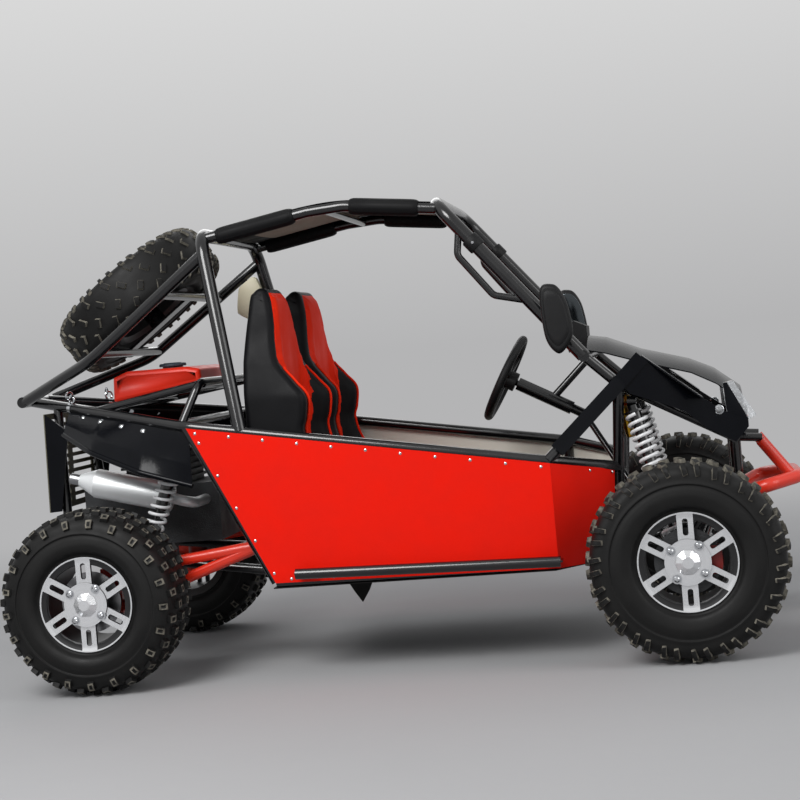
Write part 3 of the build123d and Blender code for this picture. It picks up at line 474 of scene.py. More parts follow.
# The same rubber on the tread blocks, with pale earth left on it in spots; laid on the block walls and dimple
# rims, this pale tone is also a painted highlight where light catches those edges.
EARTH_AND_PAINTED_HIGHLIGHT = Finish("tread_rubber_earth_and_painted_highlight", "#1a1a19", "#8d887c", 0.8, Grain.GRIT, 3.0, 0.3, vary=0.7,
                patch_mm=16.0, specular=0.2)
# Bare spring and shaft steel with long polishing marks.
STEEL = Finish("polished_steel", "#9c9c9e", "#6f6f72", 0.3, Grain.BRUSH, 1.5, 0.08, metallic=1.0)
# Sand-cast aluminium: grey, pitted, oil-stained.
CAST = Finish("sand_cast_aluminium", "#4a4b4d", "#1f1e1d", 0.5, Grain.CAST, 4.0, 0.3, metallic=0.7,
              vary=0.5)
# Brushed aluminium can: pale with lengthwise scratches.
CAN = Finish("brushed_aluminium", "#eceeef", "#cfd3d5", 0.4, Grain.BRUSH, 1.2, 0.12, metallic=0.5)
# Embossed black vinyl: a satin hide of small pebbles.
VINYL_BLACK = Finish("embossed_vinyl_black", "#09090b", "#131316", 0.5, Grain.HIDE, 3.0, 0.15,
                     specular=0.14)
# Embossed red vinyl: the same hide, orange-red and a little darker in its creases.
VINYL_RED = Finish("embossed_vinyl_red", "#e42a0c", "#cc270d", 0.6, Grain.HIDE, 3.0, 0.08, specular=0.08)
# Coated black canvas: threads under a dull film. Threads of 0.7 mm are drawn at 3 mm so that they show.
CANVAS = Finish("coated_canvas_black", "#080809", "#131315", 0.6, Grain.WEAVE, 3.0, 0.3, specular=0.16)
# The uncoated underside of the canvas: tan thread, drawn at 3 mm as above.
CANVAS_UNDER = Finish("bare_canvas_tan", "#978a76", "#7d7262", 0.9, Grain.WEAVE, 3.0, 0.35, sheen=0.1)
# Moulded polyethylene tank: red, satin, with a faint tool grit.
TANK_RED = Finish("moulded_polyethylene_red", "#e02c16", "#c92812", 0.4, Grain.GRIT, 3.0, 0.06,
                  specular=0.4)
# Injection-moulded ABS body work: black and glossy with a faint blue cast.
ABS_BLACK = Finish("gloss_abs_black", "#05060a", "#0d0f15", 0.2, Grain.PEEL, 8.0, 0.03, specular=0.15)
# Moulded polypropylene trim: matt black grit.
TRIM_BLACK = Finish("matt_polypropylene_black", "#0b0b0c", "#171719", 0.5, Grain.GRIT, 2.0, 0.2,
                    specular=0.25)
# Blow-moulded bottle: milky cream with a waxy shine.
BOTTLE = Finish("blow_moulded_polyethylene", "#ece6cc", "#dcd2a4", 0.38, Grain.GRIT, 4.0, 0.05)
# Clear polycarbonate lens with a moulded ripple.
LENS = Finish("clear_polycarbonate", "#f2f4f6", "#e6eaee", 0.05, Grain.PEEL, 12.0, 0.04, clear=0.72,
              vary=0.1, ior=1.4)
# Pale coat on spring wire.
SPRING = Finish("coated_spring_wire", "#dcddde", "#bfbfc1", 0.34, Grain.PEEL, 3.0, 0.08)
# Steel-blue moulded cap.
CAP_BLUE = Finish("moulded_cap_blue", "#43505e", "#2e3843", 0.4, Grain.GRIT, 2.0, 0.1)
# Expanded steel sheet with a khaki coat.
KHAKI = Finish("coated_expanded_steel", "#5c5846", "#3d3a2f", 0.6, Grain.GRIT, 2.0, 0.2)
# Chrome plate on nuts, rivets and eyes.
CHROME = Finish("chrome_plate", "#d3d5d8", "#9b9da0", 0.12, Grain.PEEL, 5.0, 0.03, metallic=1.0)
# Tinted mirror glass: a dark, clean reflection.
MIRROR = Finish("tinted_mirror_glass", "#565b5e", "#474b4e", 0.08, Grain.PEEL, 40.0, 0.01, metallic=1.0)
# Gold-anodised reservoir.
GOLD = Finish("gold_anodised_aluminium", "#b98e2e", "#8a6a20", 0.3, Grain.BRUSH, 1.5, 0.08, metallic=1.0)
# Dark red powder coat on the brake calipers.
CALIPER_RED = Finish("powder_coated_caliper_red", "#7d120b", "#5a0d08", 0.45, Grain.GRIT, 2.0, 0.1)
# White enamel of the dial's marks.
ENAMEL_WHITE = Finish("white_enamel", "#e6e6e2", "#d2d2cc", 0.3, Grain.PEEL, 3.0, 0.05)
# Matt paper of the studio floor, with faint clouds.
PAPER = Finish("studio_paper", "#a4a4a5", "#9c9c9d", 0.95, Grain.GRIT, 40.0, 0.02, vary=0.2,
               patch_mm=900.0, specular=0.1)

CAD_FINISHES = {
    FRAME_BLACK: ["side_rails", "floor_frame", "main_hoop", "front_hoop", "roof_rails", "front_frame",
                  "engine_cage", "spare_rack", "step_bars", "front_arms", "steering_column", "pedals",
                  "dampers"],
    PANEL_RED: ["side_panels"],
    ARM_RED: ["bumper", "rear_arms"],
    FLOOR_STEEL: ["floor_pan"],
    STEEL: ["half_shafts", "tie_rods"],
    CAST: ["engine", "knuckle_left", "knuckle_right"],
    CAN: ["muffler"],
    TANK_RED: ["fuel_tank"],
    ABS_BLACK: ["hood", "front_fenders", "rear_fenders"],
    KHAKI: ["rear_grille"],
    LENS: ["headlamps"],
    TRIM_BLACK: ["instrument_pod", "steering_wheel"],
}


def piece(name: str, skin: Skin, body: str, slot: str, *finishes: Finish, sharp: float = 35.0) -> Obj:
    """Makes a finished object from a surface.

    Args:
        name: the piece's name.
        skin: its surface.
        body: the body that it rides on.
        slot: the record's material slot; not used.
        finishes: its finishes, by finish number.
        sharp: edges turned further than these degrees stay sharp.
    Returns:
        The object.
    """
    mesh = bpy.data.meshes.new(name)
    mesh.from_pydata(skin.points.tolist(), [], [f for group, _ in skin.faces for f in group.tolist()])
    marks = np.concatenate([np.full(len(group), mark, dtype=np.int32) for group, mark in skin.faces])
    mesh.polygons.foreach_set("material_index", marks)
    mesh.polygons.foreach_set("use_smooth", np.ones(len(marks), dtype=bool))
    for finish in finishes:
        mesh.materials.append(finish.material())
    close = bmesh.new()
    close.from_mesh(mesh)
    bmesh.ops.remove_doubles(close, verts=close.verts, dist=1e-6)
    bmesh.ops.triangulate(close, faces=[f for f in close.faces if len(f.verts) > 4])
    bmesh.ops.recalc_face_normals(close, faces=close.faces)
    close.to_mesh(mesh)
    close.free()
    mesh.set_sharp_from_angle(angle=radians(sharp))
    obj = bpy.data.objects.new(name, mesh)
    bpy.context.scene.collection.objects.link(obj)
    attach(obj, body)
    LOG.info("%s: %d faces on %s", name, len(mesh.polygons), body)
    return obj


@dataclass
class CadPieces:
    """The CAD nodes that stay in view, with smooth shading and their finishes."""

    crease_deg: float = 32.0
    shading: str = "joined_smooth"

    def share(self) -> None:
        """Makes one shared modifier: joins the loose triangles, shades them smooth, keeps creases sharp."""
        tree = bpy.data.node_groups.new(self.shading, "GeometryNodeTree")
        for way in ("INPUT", "OUTPUT"):
            tree.interface.new_socket("Geometry", in_out=way, socket_type="NodeSocketGeometry")
        start = add(tree, "NodeGroupInput", {})
        joined = add(tree, "GeometryNodeMergeByDistance", {"Geometry": start, "Distance": 1e-5})
        soft = add(tree, "GeometryNodeSetShadeSmooth", {"Geometry": joined}, domain="FACE")
        angle = add(tree, "GeometryNodeInputMeshEdgeAngle", {})
        crease = calc(tree, "GREATER_THAN", angle, radians(self.crease_deg))
        edges = {"Geometry": soft, "Selection": crease, "Shade Smooth": False}
        add(tree, "NodeGroupOutput", {0: add(tree, "GeometryNodeSetShadeSmooth", edges, domain="EDGE")})

    def coat(self, name: str, material: Material) -> None:
        """Gives one node its material and the shared shading.

        Args:
            name: the node's name.
            material: its material.
        """
        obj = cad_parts[name]
        obj.data.materials.clear()
        obj.data.materials.append(material)
        obj.modifiers.new(self.shading, "NODES").node_group = bpy.data.node_groups[self.shading]
        LOG.info("%s: %s", name, material.name)

    def dress(self) -> None:
        """Coats every node but the rims, which their wheels coat."""
        self.share()
        for finish, names in CAD_FINISHES.items():
            for name in names:
                self.coat(name, finish.material())


class Tread(Enum):
    """The two tread patterns."""

    ANGLED = "angled bars"
    KNOBS = "square knobs with dimples"


@dataclass(frozen=True)
class LugRow:
    """One row of tread blocks: its place along the profile, half sizes in mm, skew and phase."""

    along: float
    across: float
    around: float
    skew: float
    phase: float


LUG_ROWS = {
    Tread.ANGLED: [
        LugRow(19.0, 17.0, 10.0, 38.0, 0.0),
        LugRow(52.0, 16.0, 9.5, 30.0, 0.45),
        LugRow(84.0, 17.0, 9.0, 16.0, 0.1),
        LugRow(84.0, 17.0, 8.0, 16.0, 0.52),
    ],
    Tread.KNOBS: [
        LugRow(20.0, 14.5, 14.0, 8.0, 0.0),
        LugRow(56.0, 14.5, 14.0, 8.0, 0.5),
        LugRow(92.0, 14.5, 14.0, 8.0, 0.0),
        LugRow(124.0, 14.0, 13.0, 6.0, 0.5),
    ],
}
RIM_R = 143.0
RIM_SEAT_R = 127.0


@dataclass(frozen=True)
class TyreSize:
    """A tyre's sizes in mm, its tread and how many pitches go round it."""

    radius: float
    width: float
    rim_width: float
    tread: Tread
    pitches: int
    lug_height: float = 12.0


FRONT_TYRE = TyreSize(292.0, 178.0, 140.0, Tread.ANGLED, 19)
REAR_TYRE = TyreSize(279.5, 254.0, 210.0, Tread.KNOBS, 21)
SPARE_TYRE = TyreSize(292.0, 178.0, 140.0, Tread.ANGLED, 19, 8.0)


@dataclass(frozen=True)
class Wheel:
    """One wheel: its code, the body it rides on, its placing with -Y as its face, and its tyre's size."""

    code: str
    body: str
    place: Array
    size: TyreSize

    def node(self, kind: str) -> str:
        """The name of its tyre's or rim's node."""
        return f"spare_{kind}" if self.code == "spare" else f"{kind}_{self.code}"

    def outward(self) -> Array:
        """Its placing turned, so that Z points out of its face."""
        return self.place @ placing((0, 0, 0), (1, 0, 0), (0, 0, 1), (0, -1, 0))


@dataclass
class Tyre:
    """A tyre about its own Y axis, with blocks standing on a smooth carcass; sizes in mm."""

    wheel: Wheel
    steps: int = 120
    dimple: float = 4.0
    sunk: float = 2.0

    def profile(self) -> Array:
        """The half profile as (y, radius), from the middle of the tread to the bead."""
        size = self.wheel.size
        r, half, rim = size.radius, size.width / 2, size.rim_width / 2
        base = r - size.lug_height
        knots = [
            (0.0, base), (half * 0.3, base - 0.5), (half * 0.58, base - 3.0), (half * 0.78, base - 11.0),
            (half * 0.9, base - 26.0), (half - 6.0, base - 46.0), (half - 4.0, r * 0.765),
            (half - 8.0, r * 0.75), (half - 5.0, r * 0.70), (half - 4.0, r * 0.64),
            (half - 10.0, RIM_R + 20.0), (rim - 2.0, RIM_R + 9.0), (rim - 5.0, RIM_R + 2.0),
            (rim - 9.0, RIM_SEAT_R + 1.0),
        ]
        return smooth_line(knots, 90)

    def carcass(self) -> Skin:
        """Turns the whole closed profile about Y: x is r sin a, z is r cos a."""
        half = self.profile()
        ring = np.vstack([half[::-1] * (-1.0, 1.0), half[1:]]) / 1000.0
        angle = np.linspace(0.0, 2 * pi, self.steps, endpoint=False)[:, None]
        y, r = ring[:, 0] + 0 * angle, ring[:, 1]
        points = np.stack([r * np.sin(angle), y, r * np.cos(angle)], axis=-1)
        return Skin.grid(np.concatenate([points, points[:, :1]], axis=1), wrap=True)

    def lugs(self, line: LugRow, side: float) -> Skin:
        """Blocks of one row: a small grid bent over the carcass, lifted along its normal, sunk at its rim.

        The walls of the bars and the rims round the knobs' dimples get the pale earthy finish: partly earth,
        partly a painted highlight where light catches these edges.

        Args:
            line: the row.
            side: 1 or -1, the half of the tread.
        Returns:
            The blocks.
        """
        size = self.wheel.size
        edge = np.array([-1.0, -0.78, -0.42, 0.0, 0.42, 0.78, 1.0])
        s, t = np.meshgrid(edge, edge, indexing="ij")
        out_to = np.maximum(abs(s), abs(t))
        middle = 0.25 * (out_to[:-1, :-1] + out_to[1:, :-1] + out_to[1:, 1:] + out_to[:-1, 1:]).ravel()
        lift = np.where(out_to > 0.9, -self.sunk, size.lug_height)
        # Painted highlight with earth: the pale finish goes on the bar walls, where light catches the block
        # edges.
        earth_and_painted_highlight = middle > 0.85
        if size.tread is Tread.KNOBS:
            lift = lift - np.where(out_to < 0.4, self.dimple, 0.0)
            # Painted highlight with earth: on knobs the pale finish goes on the tops round the dimples, the
            # rims that catch the light.
            earth_and_painted_highlight = abs(middle - 0.65) < 0.2
        skew = radians(line.skew)
        along = line.along + line.across * s * cos(skew) - line.around * t * sin(skew)
        swing = line.across * s * sin(skew) + line.around * t * cos(skew)
        half = self.profile()
        reach = np.concatenate([[0.0], np.cumsum(np.hypot(*np.diff(half, axis=0).T))])
        out = np.gradient(half, reach, axis=0)
        read = [np.interp(abs(along), reach, column) for column in (*half.T, -out[:, 1], out[:, 0])]
        y = np.minimum(read[0] + read[2] * lift, size.width / 2) * np.sign(along) * side
        r = np.minimum(read[1] + read[3] * lift, size.radius)
        phase = line.phase + (0.5 if side < 0 else 0.0)
        turn = 2 * pi * (np.arange(size.pitches) + phase) / size.pitches
        angle = pi + turn[:, None, None] + swing / size.radius
        points = np.stack([r * np.sin(angle), y + 0 * angle, r * np.cos(angle)], axis=-1) / 1000.0
        quads = Skin.grid(points[0]).faces[0][0]
        zones = [(quads[earth_and_painted_highlight], 1), (quads[~earth_and_painted_highlight], 0)]
        return Skin.join(*[Skin(block.reshape(-1, 3), zones) for block in points])

    def build(self) -> None:
        """Builds the tyre and stands it for its CAD node."""
        wheel = self.wheel
        rows = [self.lugs(line, side) for line in LUG_ROWS[wheel.size.tread] for side in (1.0, -1.0)]
        skin = Skin.join(self.carcass(), *rows).copies(wheel.place[None])
        node = wheel.node("tyre")
        # The second finish is pale earth and a painted highlight on the block edges.
        obj = piece(f"{node}_knobbly", skin, wheel.body, "rubber", RUBBER, EARTH_AND_PAINTED_HIGHLIGHT, sharp=28.0)
        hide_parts(node)


@dataclass(frozen=True)
class RimFinish:
    """A cast wheel whose spokes and lip are machined bright and whose pockets keep black paint; in metres."""

    name: str
    place: Array
    half: float
    spoke_turns: Point = (30.0, 90.0, 150.0)
    spoke_half: float = 0.0232
    hub_r: float = 0.066
    lip_r: float = 0.1386
    bright: tuple[str, str] = ("#f3f4f5", "#d2d3d6")
    paint: str = "#0e0e10"
    ring_mm: float = 1.6

    def spokes(self, tree: Tree, from_hub: Socket) -> Socket:
        """One on the hub, on the lip and within half a width of a spoke's middle line, nought elsewhere.

        Args:
            tree: the node tree.
            from_hub: the place on the rim, from its centre.
        Returns:
            The mask.
        """
        side, out, up = self.place[:3, :3].T
        lines = []
        for turn in self.spoke_turns:
            across = cos(radians(turn)) * up - sin(radians(turn)) * side
            reach = vector(tree, "DOT_PRODUCT", from_hub, tuple(across.tolist()))
            lines.append(calc(tree, "ABSOLUTE", reach))
        nearest = calc(tree, "MINIMUM", calc(tree, "MINIMUM", *lines[:2]), lines[2])
        radius = vector(tree, "LENGTH", vector(tree, "CROSS_PRODUCT", from_hub, tuple(out.tolist())))
        spoke = calc(tree, "LESS_THAN", nearest, self.spoke_half)
        hub = calc(tree, "LESS_THAN", radius, self.hub_r)
        lip = calc(tree, "GREATER_THAN", radius, self.lip_r)
        return calc(tree, "MAXIMUM", calc(tree, "MAXIMUM", spoke, hub), lip)

    def material(self) -> Material:
        """Bright on the flat outer faces and the cap, black deeper in, with lathe rings on the bright part.

        Returns:
            The material.
        """
        made, tree = blank(self.name)
        out = tuple((-self.place[:3, 1]).tolist())
        hub = tuple(self.place[:3, 3].tolist())
        where, normal = [add(tree, "ShaderNodeTexCoord", {}, kind) for kind in ("Object", "Normal")]
        from_hub = vector(tree, "SUBTRACT", where, hub)
        depth = vector(tree, "DOT_PRODUCT", from_hub, out)
        flat = ramp(tree, vector(tree, "DOT_PRODUCT", normal, out), 0.9, 0.95)
        near = ramp(tree, depth, self.half - 0.0045, self.half - 0.0035)
        cap = ramp(tree, depth, self.half + 0.0032, self.half + 0.0036)
        face = calc(tree, "MULTIPLY", calc(tree, "MULTIPLY", flat, near), self.spokes(tree, from_hub))
        bright = calc(tree, "MAXIMUM", face, cap)
        rings = Finish("rings", *self.bright, 0.2, Grain.LATHE, self.ring_mm, axis=out, centre=hub)
        height = rings.height(tree, where)
        shaded(tree, {
            "Base Color": blend(tree, bright, self.paint, blend(tree, height, *self.bright)),
            "Roughness": ramp(tree, bright, 0.0, 1.0, 0.4, 0.2),
            "Metallic": calc(tree, "MULTIPLY", bright, 0.75),
            "Normal": add(tree, "ShaderNodeBump", {"Height": height, "Strength": 0.08, "Distance": 0.001}),
        })
        return made


@dataclass
class Wheels:
    """The four road wheels and the spare: tyres, rim faces, wheel nuts and rear brake discs; sizes in mm."""

    front_axle: tuple[float, float] = (1780.0, 613.0)
    rear_axle: tuple[float, float] = (0.0, 561.0)
    spare_centre: Point = (50.63, 0.0, 1192.97)
    spare_axis: Point = (-0.5932, 0.0, 0.805)
    nuts: int = 4
    nut_circle: float = 57.0
    nut_turn_deg: float = 53.0
    hub_proud: float = 3.0
    disc_back: float = 15.2
    bell: float = 44.0

    def wheels(self) -> list[Wheel]:
        """Works out each wheel's placing from the axle lines and the rack."""
        made = []
        for end, (x, y), size in (("f", self.front_axle, FRONT_TYRE), ("r", self.rear_axle, REAR_TYRE)):
            for side, turn in (("r", 1.0), ("l", -1.0)):
                place = placing(row((x, -turn * y, size.radius)), (turn, 0, 0), (0, turn, 0), (0, 0, 1))
                made.append(Wheel(end + side, f"wheel_{end}{side}", place, size))
        face = -np.array(self.spare_axis)
        side = np.array((0.0, 1.0, 0.0))
        place = placing(row(self.spare_centre), np.cross(face, side), face, side)
        return made + [Wheel("spare", "chassis", place, SPARE_TYRE)]

    def build(self) -> None:
        """Builds the five tyres and dresses the five rims."""
        for wheel in self.wheels():
            Tyre(wheel).build()
            self.dress(wheel)
            if wheel.size is REAR_TYRE:
                self.brake(wheel)

    def dress(self, wheel: Wheel) -> None:
        """Gives a rim its machined face and its domed nuts.

        Args:
            wheel: the wheel.
        """
        name, half = wheel.node("rim"), wheel.size.rim_width / 2
        CadPieces().coat(name, RimFinish(name + "_cast_alloy", wheel.place, half / 1000.0).material())
        nut = Skin.turned([(0, 12), (5, 11.3), (8, 8.5), (9.5, 3), (10, 0.5), (14, 0.5), (14, -1)], 16)
        spots = around(self.nuts, self.nut_circle, half + self.hub_proud, self.nut_turn_deg)
        nuts = nut.copies(wheel.outward() @ spots)
        piece(f"wheel_nuts_{wheel.code}", nuts, wheel.body, "alloy", CHROME, sharp=20.0)

    def brake(self, wheel: Wheel) -> None:
        """Sets a brake disc behind the spokes; its bell's rim meets the back of the wheel's disc.

        Args:
            wheel: the wheel.
        """
        back = wheel.size.rim_width / 2 - self.disc_back
        low = back - self.bell
        profile = [(36, low), (92, low), (92, low + 5), (42, low + 5), (42, back), (36, back)]
        disc = Skin.turned(profile, 48, closed=True).copies(wheel.outward()[None])
        piece(f"brake_disc_{wheel.code}", disc, wheel.body, "steel", STEEL)


@dataclass
class Coil:
    """A coil spring between two points, in mm from the rear axle line."""

    name: str
    top: Array
    foot: Array
    turns: float
    wire: float
    radius: float = 28.0
    clear: float = 42.0

    def build(self) -> None:
        """Carries a round wire along a helix: the angle grows evenly, and the rise slows at both ends."""
        top, foot = row(self.top), row(self.foot)
        length = float(np.linalg.norm(foot - top))
        axis = (foot - top) / length
        side = unit(np.cross(axis, (1.0, 0.0, 0.0)))
        share = np.linspace(0.0, 1.0, int(self.turns * 26))
        end = 0.5 / self.turns
        ease = np.interp(share, (0.0, end, 1.0 - end, 1.0), (0.0, 0.03, 0.97, 1.0))
        angle = 2 * pi * self.turns * share[:, None]
        ring = np.cos(angle) * side + np.sin(angle) * np.cross(axis, side)
        gap = self.clear / 1000.0
        path = top + axis * (gap + (length - 2 * gap) * ease)[:, None] + ring * self.radius / 1000.0
        skin = Skin.tube(path, self.wire / 1000.0, 10, axis)
        obj = piece(self.name, skin, "chassis", "spring_grey", SPRING)
        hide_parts("springs")


@dataclass
class Suspension:
    """The four coils, the front dampers' reservoirs and the front brake calipers; sizes in mm."""

    front_top: Point = (1650.0, 341.5, 745.3)
    front_foot: Point = (1759.8, 393.9, 272.1)
    front_coil: tuple[float, float] = (18.0, 5.6)
    rear_top: Point = (268.0, 385.0, 756.5)
    rear_foot: Point = (110.0, 385.0, 384.3)
    rear_coil: tuple[float, float] = (13.0, 5.0)
    reservoir_top: Point = (1617.0, 304.0, 742.0)
    caliper: Point = (1855.0, 646.5, 292.0)
    caliper_half: Point = (24.0, 13.0, 43.0)

    def build(self) -> None:
        """Builds each coil on both sides, the reservoirs with their necks, and the calipers."""
        sides = (("right", -1.0), ("left", 1.0))
        for side, turn in sides:
            for end, ends, coil in (
                ("front", (self.front_top, self.front_foot), self.front_coil),
                ("rear", (self.rear_top, self.rear_foot), self.rear_coil),
            ):
                Coil(f"coil_{end}_{side}", *np.multiply(ends, (1.0, turn, 1.0)), *coil).build()
        down = np.subtract(self.front_foot, self.front_top)
        profile = [(0, 0), (11, 0), (14, 3), (14, 20), (15, 21), (15, 104), (12, 110), (0, 110)]
        can = Skin.turned(profile, 24).at(down, self.reservoir_top)
        neck = Skin.tube(row([self.front_top, self.reservoir_top]) - (0, 0, 0.006), 0.007, 10, (0, 0, 1))
        piece("damper_reservoirs", Skin.join(can, neck).both_sides(), "chassis", "steel", GOLD)
        x, y, z = self.caliper
        wide, thick, high = self.caliper_half
        corners = [(x + a * wide, z + b * high) for a, b in ((-1, -1), (1, -1), (1, 1), (-1, 1))]
        outline = rounded(corners)
        for side, turn in sides:
            skin = Skin.pillow(outline, turn * y, thick, 5.0)
            piece(f"brake_caliper_{side}", skin, f"knuckle_{side}", "steel", CALIPER_RED)


@dataclass
class Fixings:
    """Rivets round the side panels and bolts on the fenders; sizes in mm."""

    panel_face: float = 520.3
    top_edge: tuple = ((340.0, 757.0), (1376.0, 580.0), 11)
    rear_edge: tuple = ((350.0, 727.0), (548.0, 318.0), 5)
    low_edge: tuple = ((600.0, 298.0), (1376.0, 290.0), 7)
    kick_top: tuple = ((1444.0, 473.0, 567.0), (1512.0, 413.0, 551.0), (1576.0, 353.0, 537.0))
    kick_face: Point = (0.675, 0.738, 0.0)
    fender: tuple = ((150.0, 419.5, 775.8), (65.0, 366.0, 793.4), (-20.0, 312.9, 811.0),
                     (-95.0, 255.0, 826.0))
    fender_face: Point = (0.0, 0.68, 0.733)

    def build(self) -> None:
        """Sets a low dome at even steps along each edge, its axis square to the sheet."""
        dome = Skin.turned([(0, 2.6), (2.5, 2.3), (4.4, 1.2), (5.0, -1.0)], 12)
        flat = np.vstack([np.linspace(*run) for run in (self.top_edge, self.rear_edge, self.low_edge)])
        spots = np.column_stack([flat[:, 0], np.full(len(flat), self.panel_face), flat[:, 1]])
        rivets = Skin.join(dome.at((0, 1, 0), *spots), dome.at(self.kick_face, *self.kick_top))
        piece("panel_rivets", rivets.both_sides(), "chassis", "steel", CHROME)
        bolt = Skin.turned([(0, 5), (4, 4.6), (6.5, 3), (7, 0.6), (10, 0.4), (10, -3)], 12)
        bolts = bolt.at(self.fender_face, *self.fender)
        piece("fender_bolts", bolts.both_sides(), "chassis", "steel", CHROME)


@dataclass(frozen=True)
class Swelling:
    """How the cloth solver blows a pad up a little; no point goes further than the cap from where it was."""

    voxel_mm: float = 7.0
    cap_mm: float = 9.0
    pressure: float = 4.0
    frames: int = 20

    def blow(self, obj: Obj, start: Array) -> Array:
        """Runs the solver without gravity.

        Args:
            obj: the pad.
            start: its points, flat.
        Returns:
            The capped points, flat.
        """
        scene = bpy.context.scene
        cloth = obj.modifiers.new("pressure", "CLOTH").settings
        cloth.use_pressure, cloth.uniform_pressure_force = True, self.pressure
        cloth.effector_weights.gravity = 0.0
        for step in range(1, self.frames + 1):
            scene.frame_set(step)
        blown = np.empty_like(start)
        obj.evaluated_get(bpy.context.evaluated_depsgraph_get()).data.vertices.foreach_get("co", blown)
        obj.modifiers.clear()
        scene.frame_set(1)
        move = (blown - start).reshape(-1, 3)
        far = np.linalg.norm(move, axis=1, keepdims=True)
        return start + (move * np.minimum(1.0, self.cap_mm / 1000.0 / np.maximum(far, 1e-9))).ravel()

    def swell(self, obj: Obj, finish: Finish) -> None:
        """Gives a closed pad an even mesh, blows it up and softens it by one subdivision.

        Args:
            obj: the pad.
            finish: its finish.
        """
        even = obj.modifiers.new("even", "REMESH")
        even.mode, even.voxel_size = "VOXEL", self.voxel_mm / 1000.0
        mesh = bpy.data.meshes.new_from_object(obj.evaluated_get(bpy.context.evaluated_depsgraph_get()))
        obj.modifiers.clear()
        obj.data = mesh
        mesh.materials.clear()
        mesh.materials.append(finish.material())
        points = np.empty(len(mesh.vertices) * 3)
        mesh.vertices.foreach_get("co", points)
        points = self.blow(obj, points)
        mesh.vertices.foreach_set("co", points)
        mesh.polygons.foreach_set("use_smooth", np.ones(len(mesh.polygons), dtype=bool))
        soft = obj.modifiers.new("soft", "SUBSURF")
        soft.levels = soft.render_levels = 1


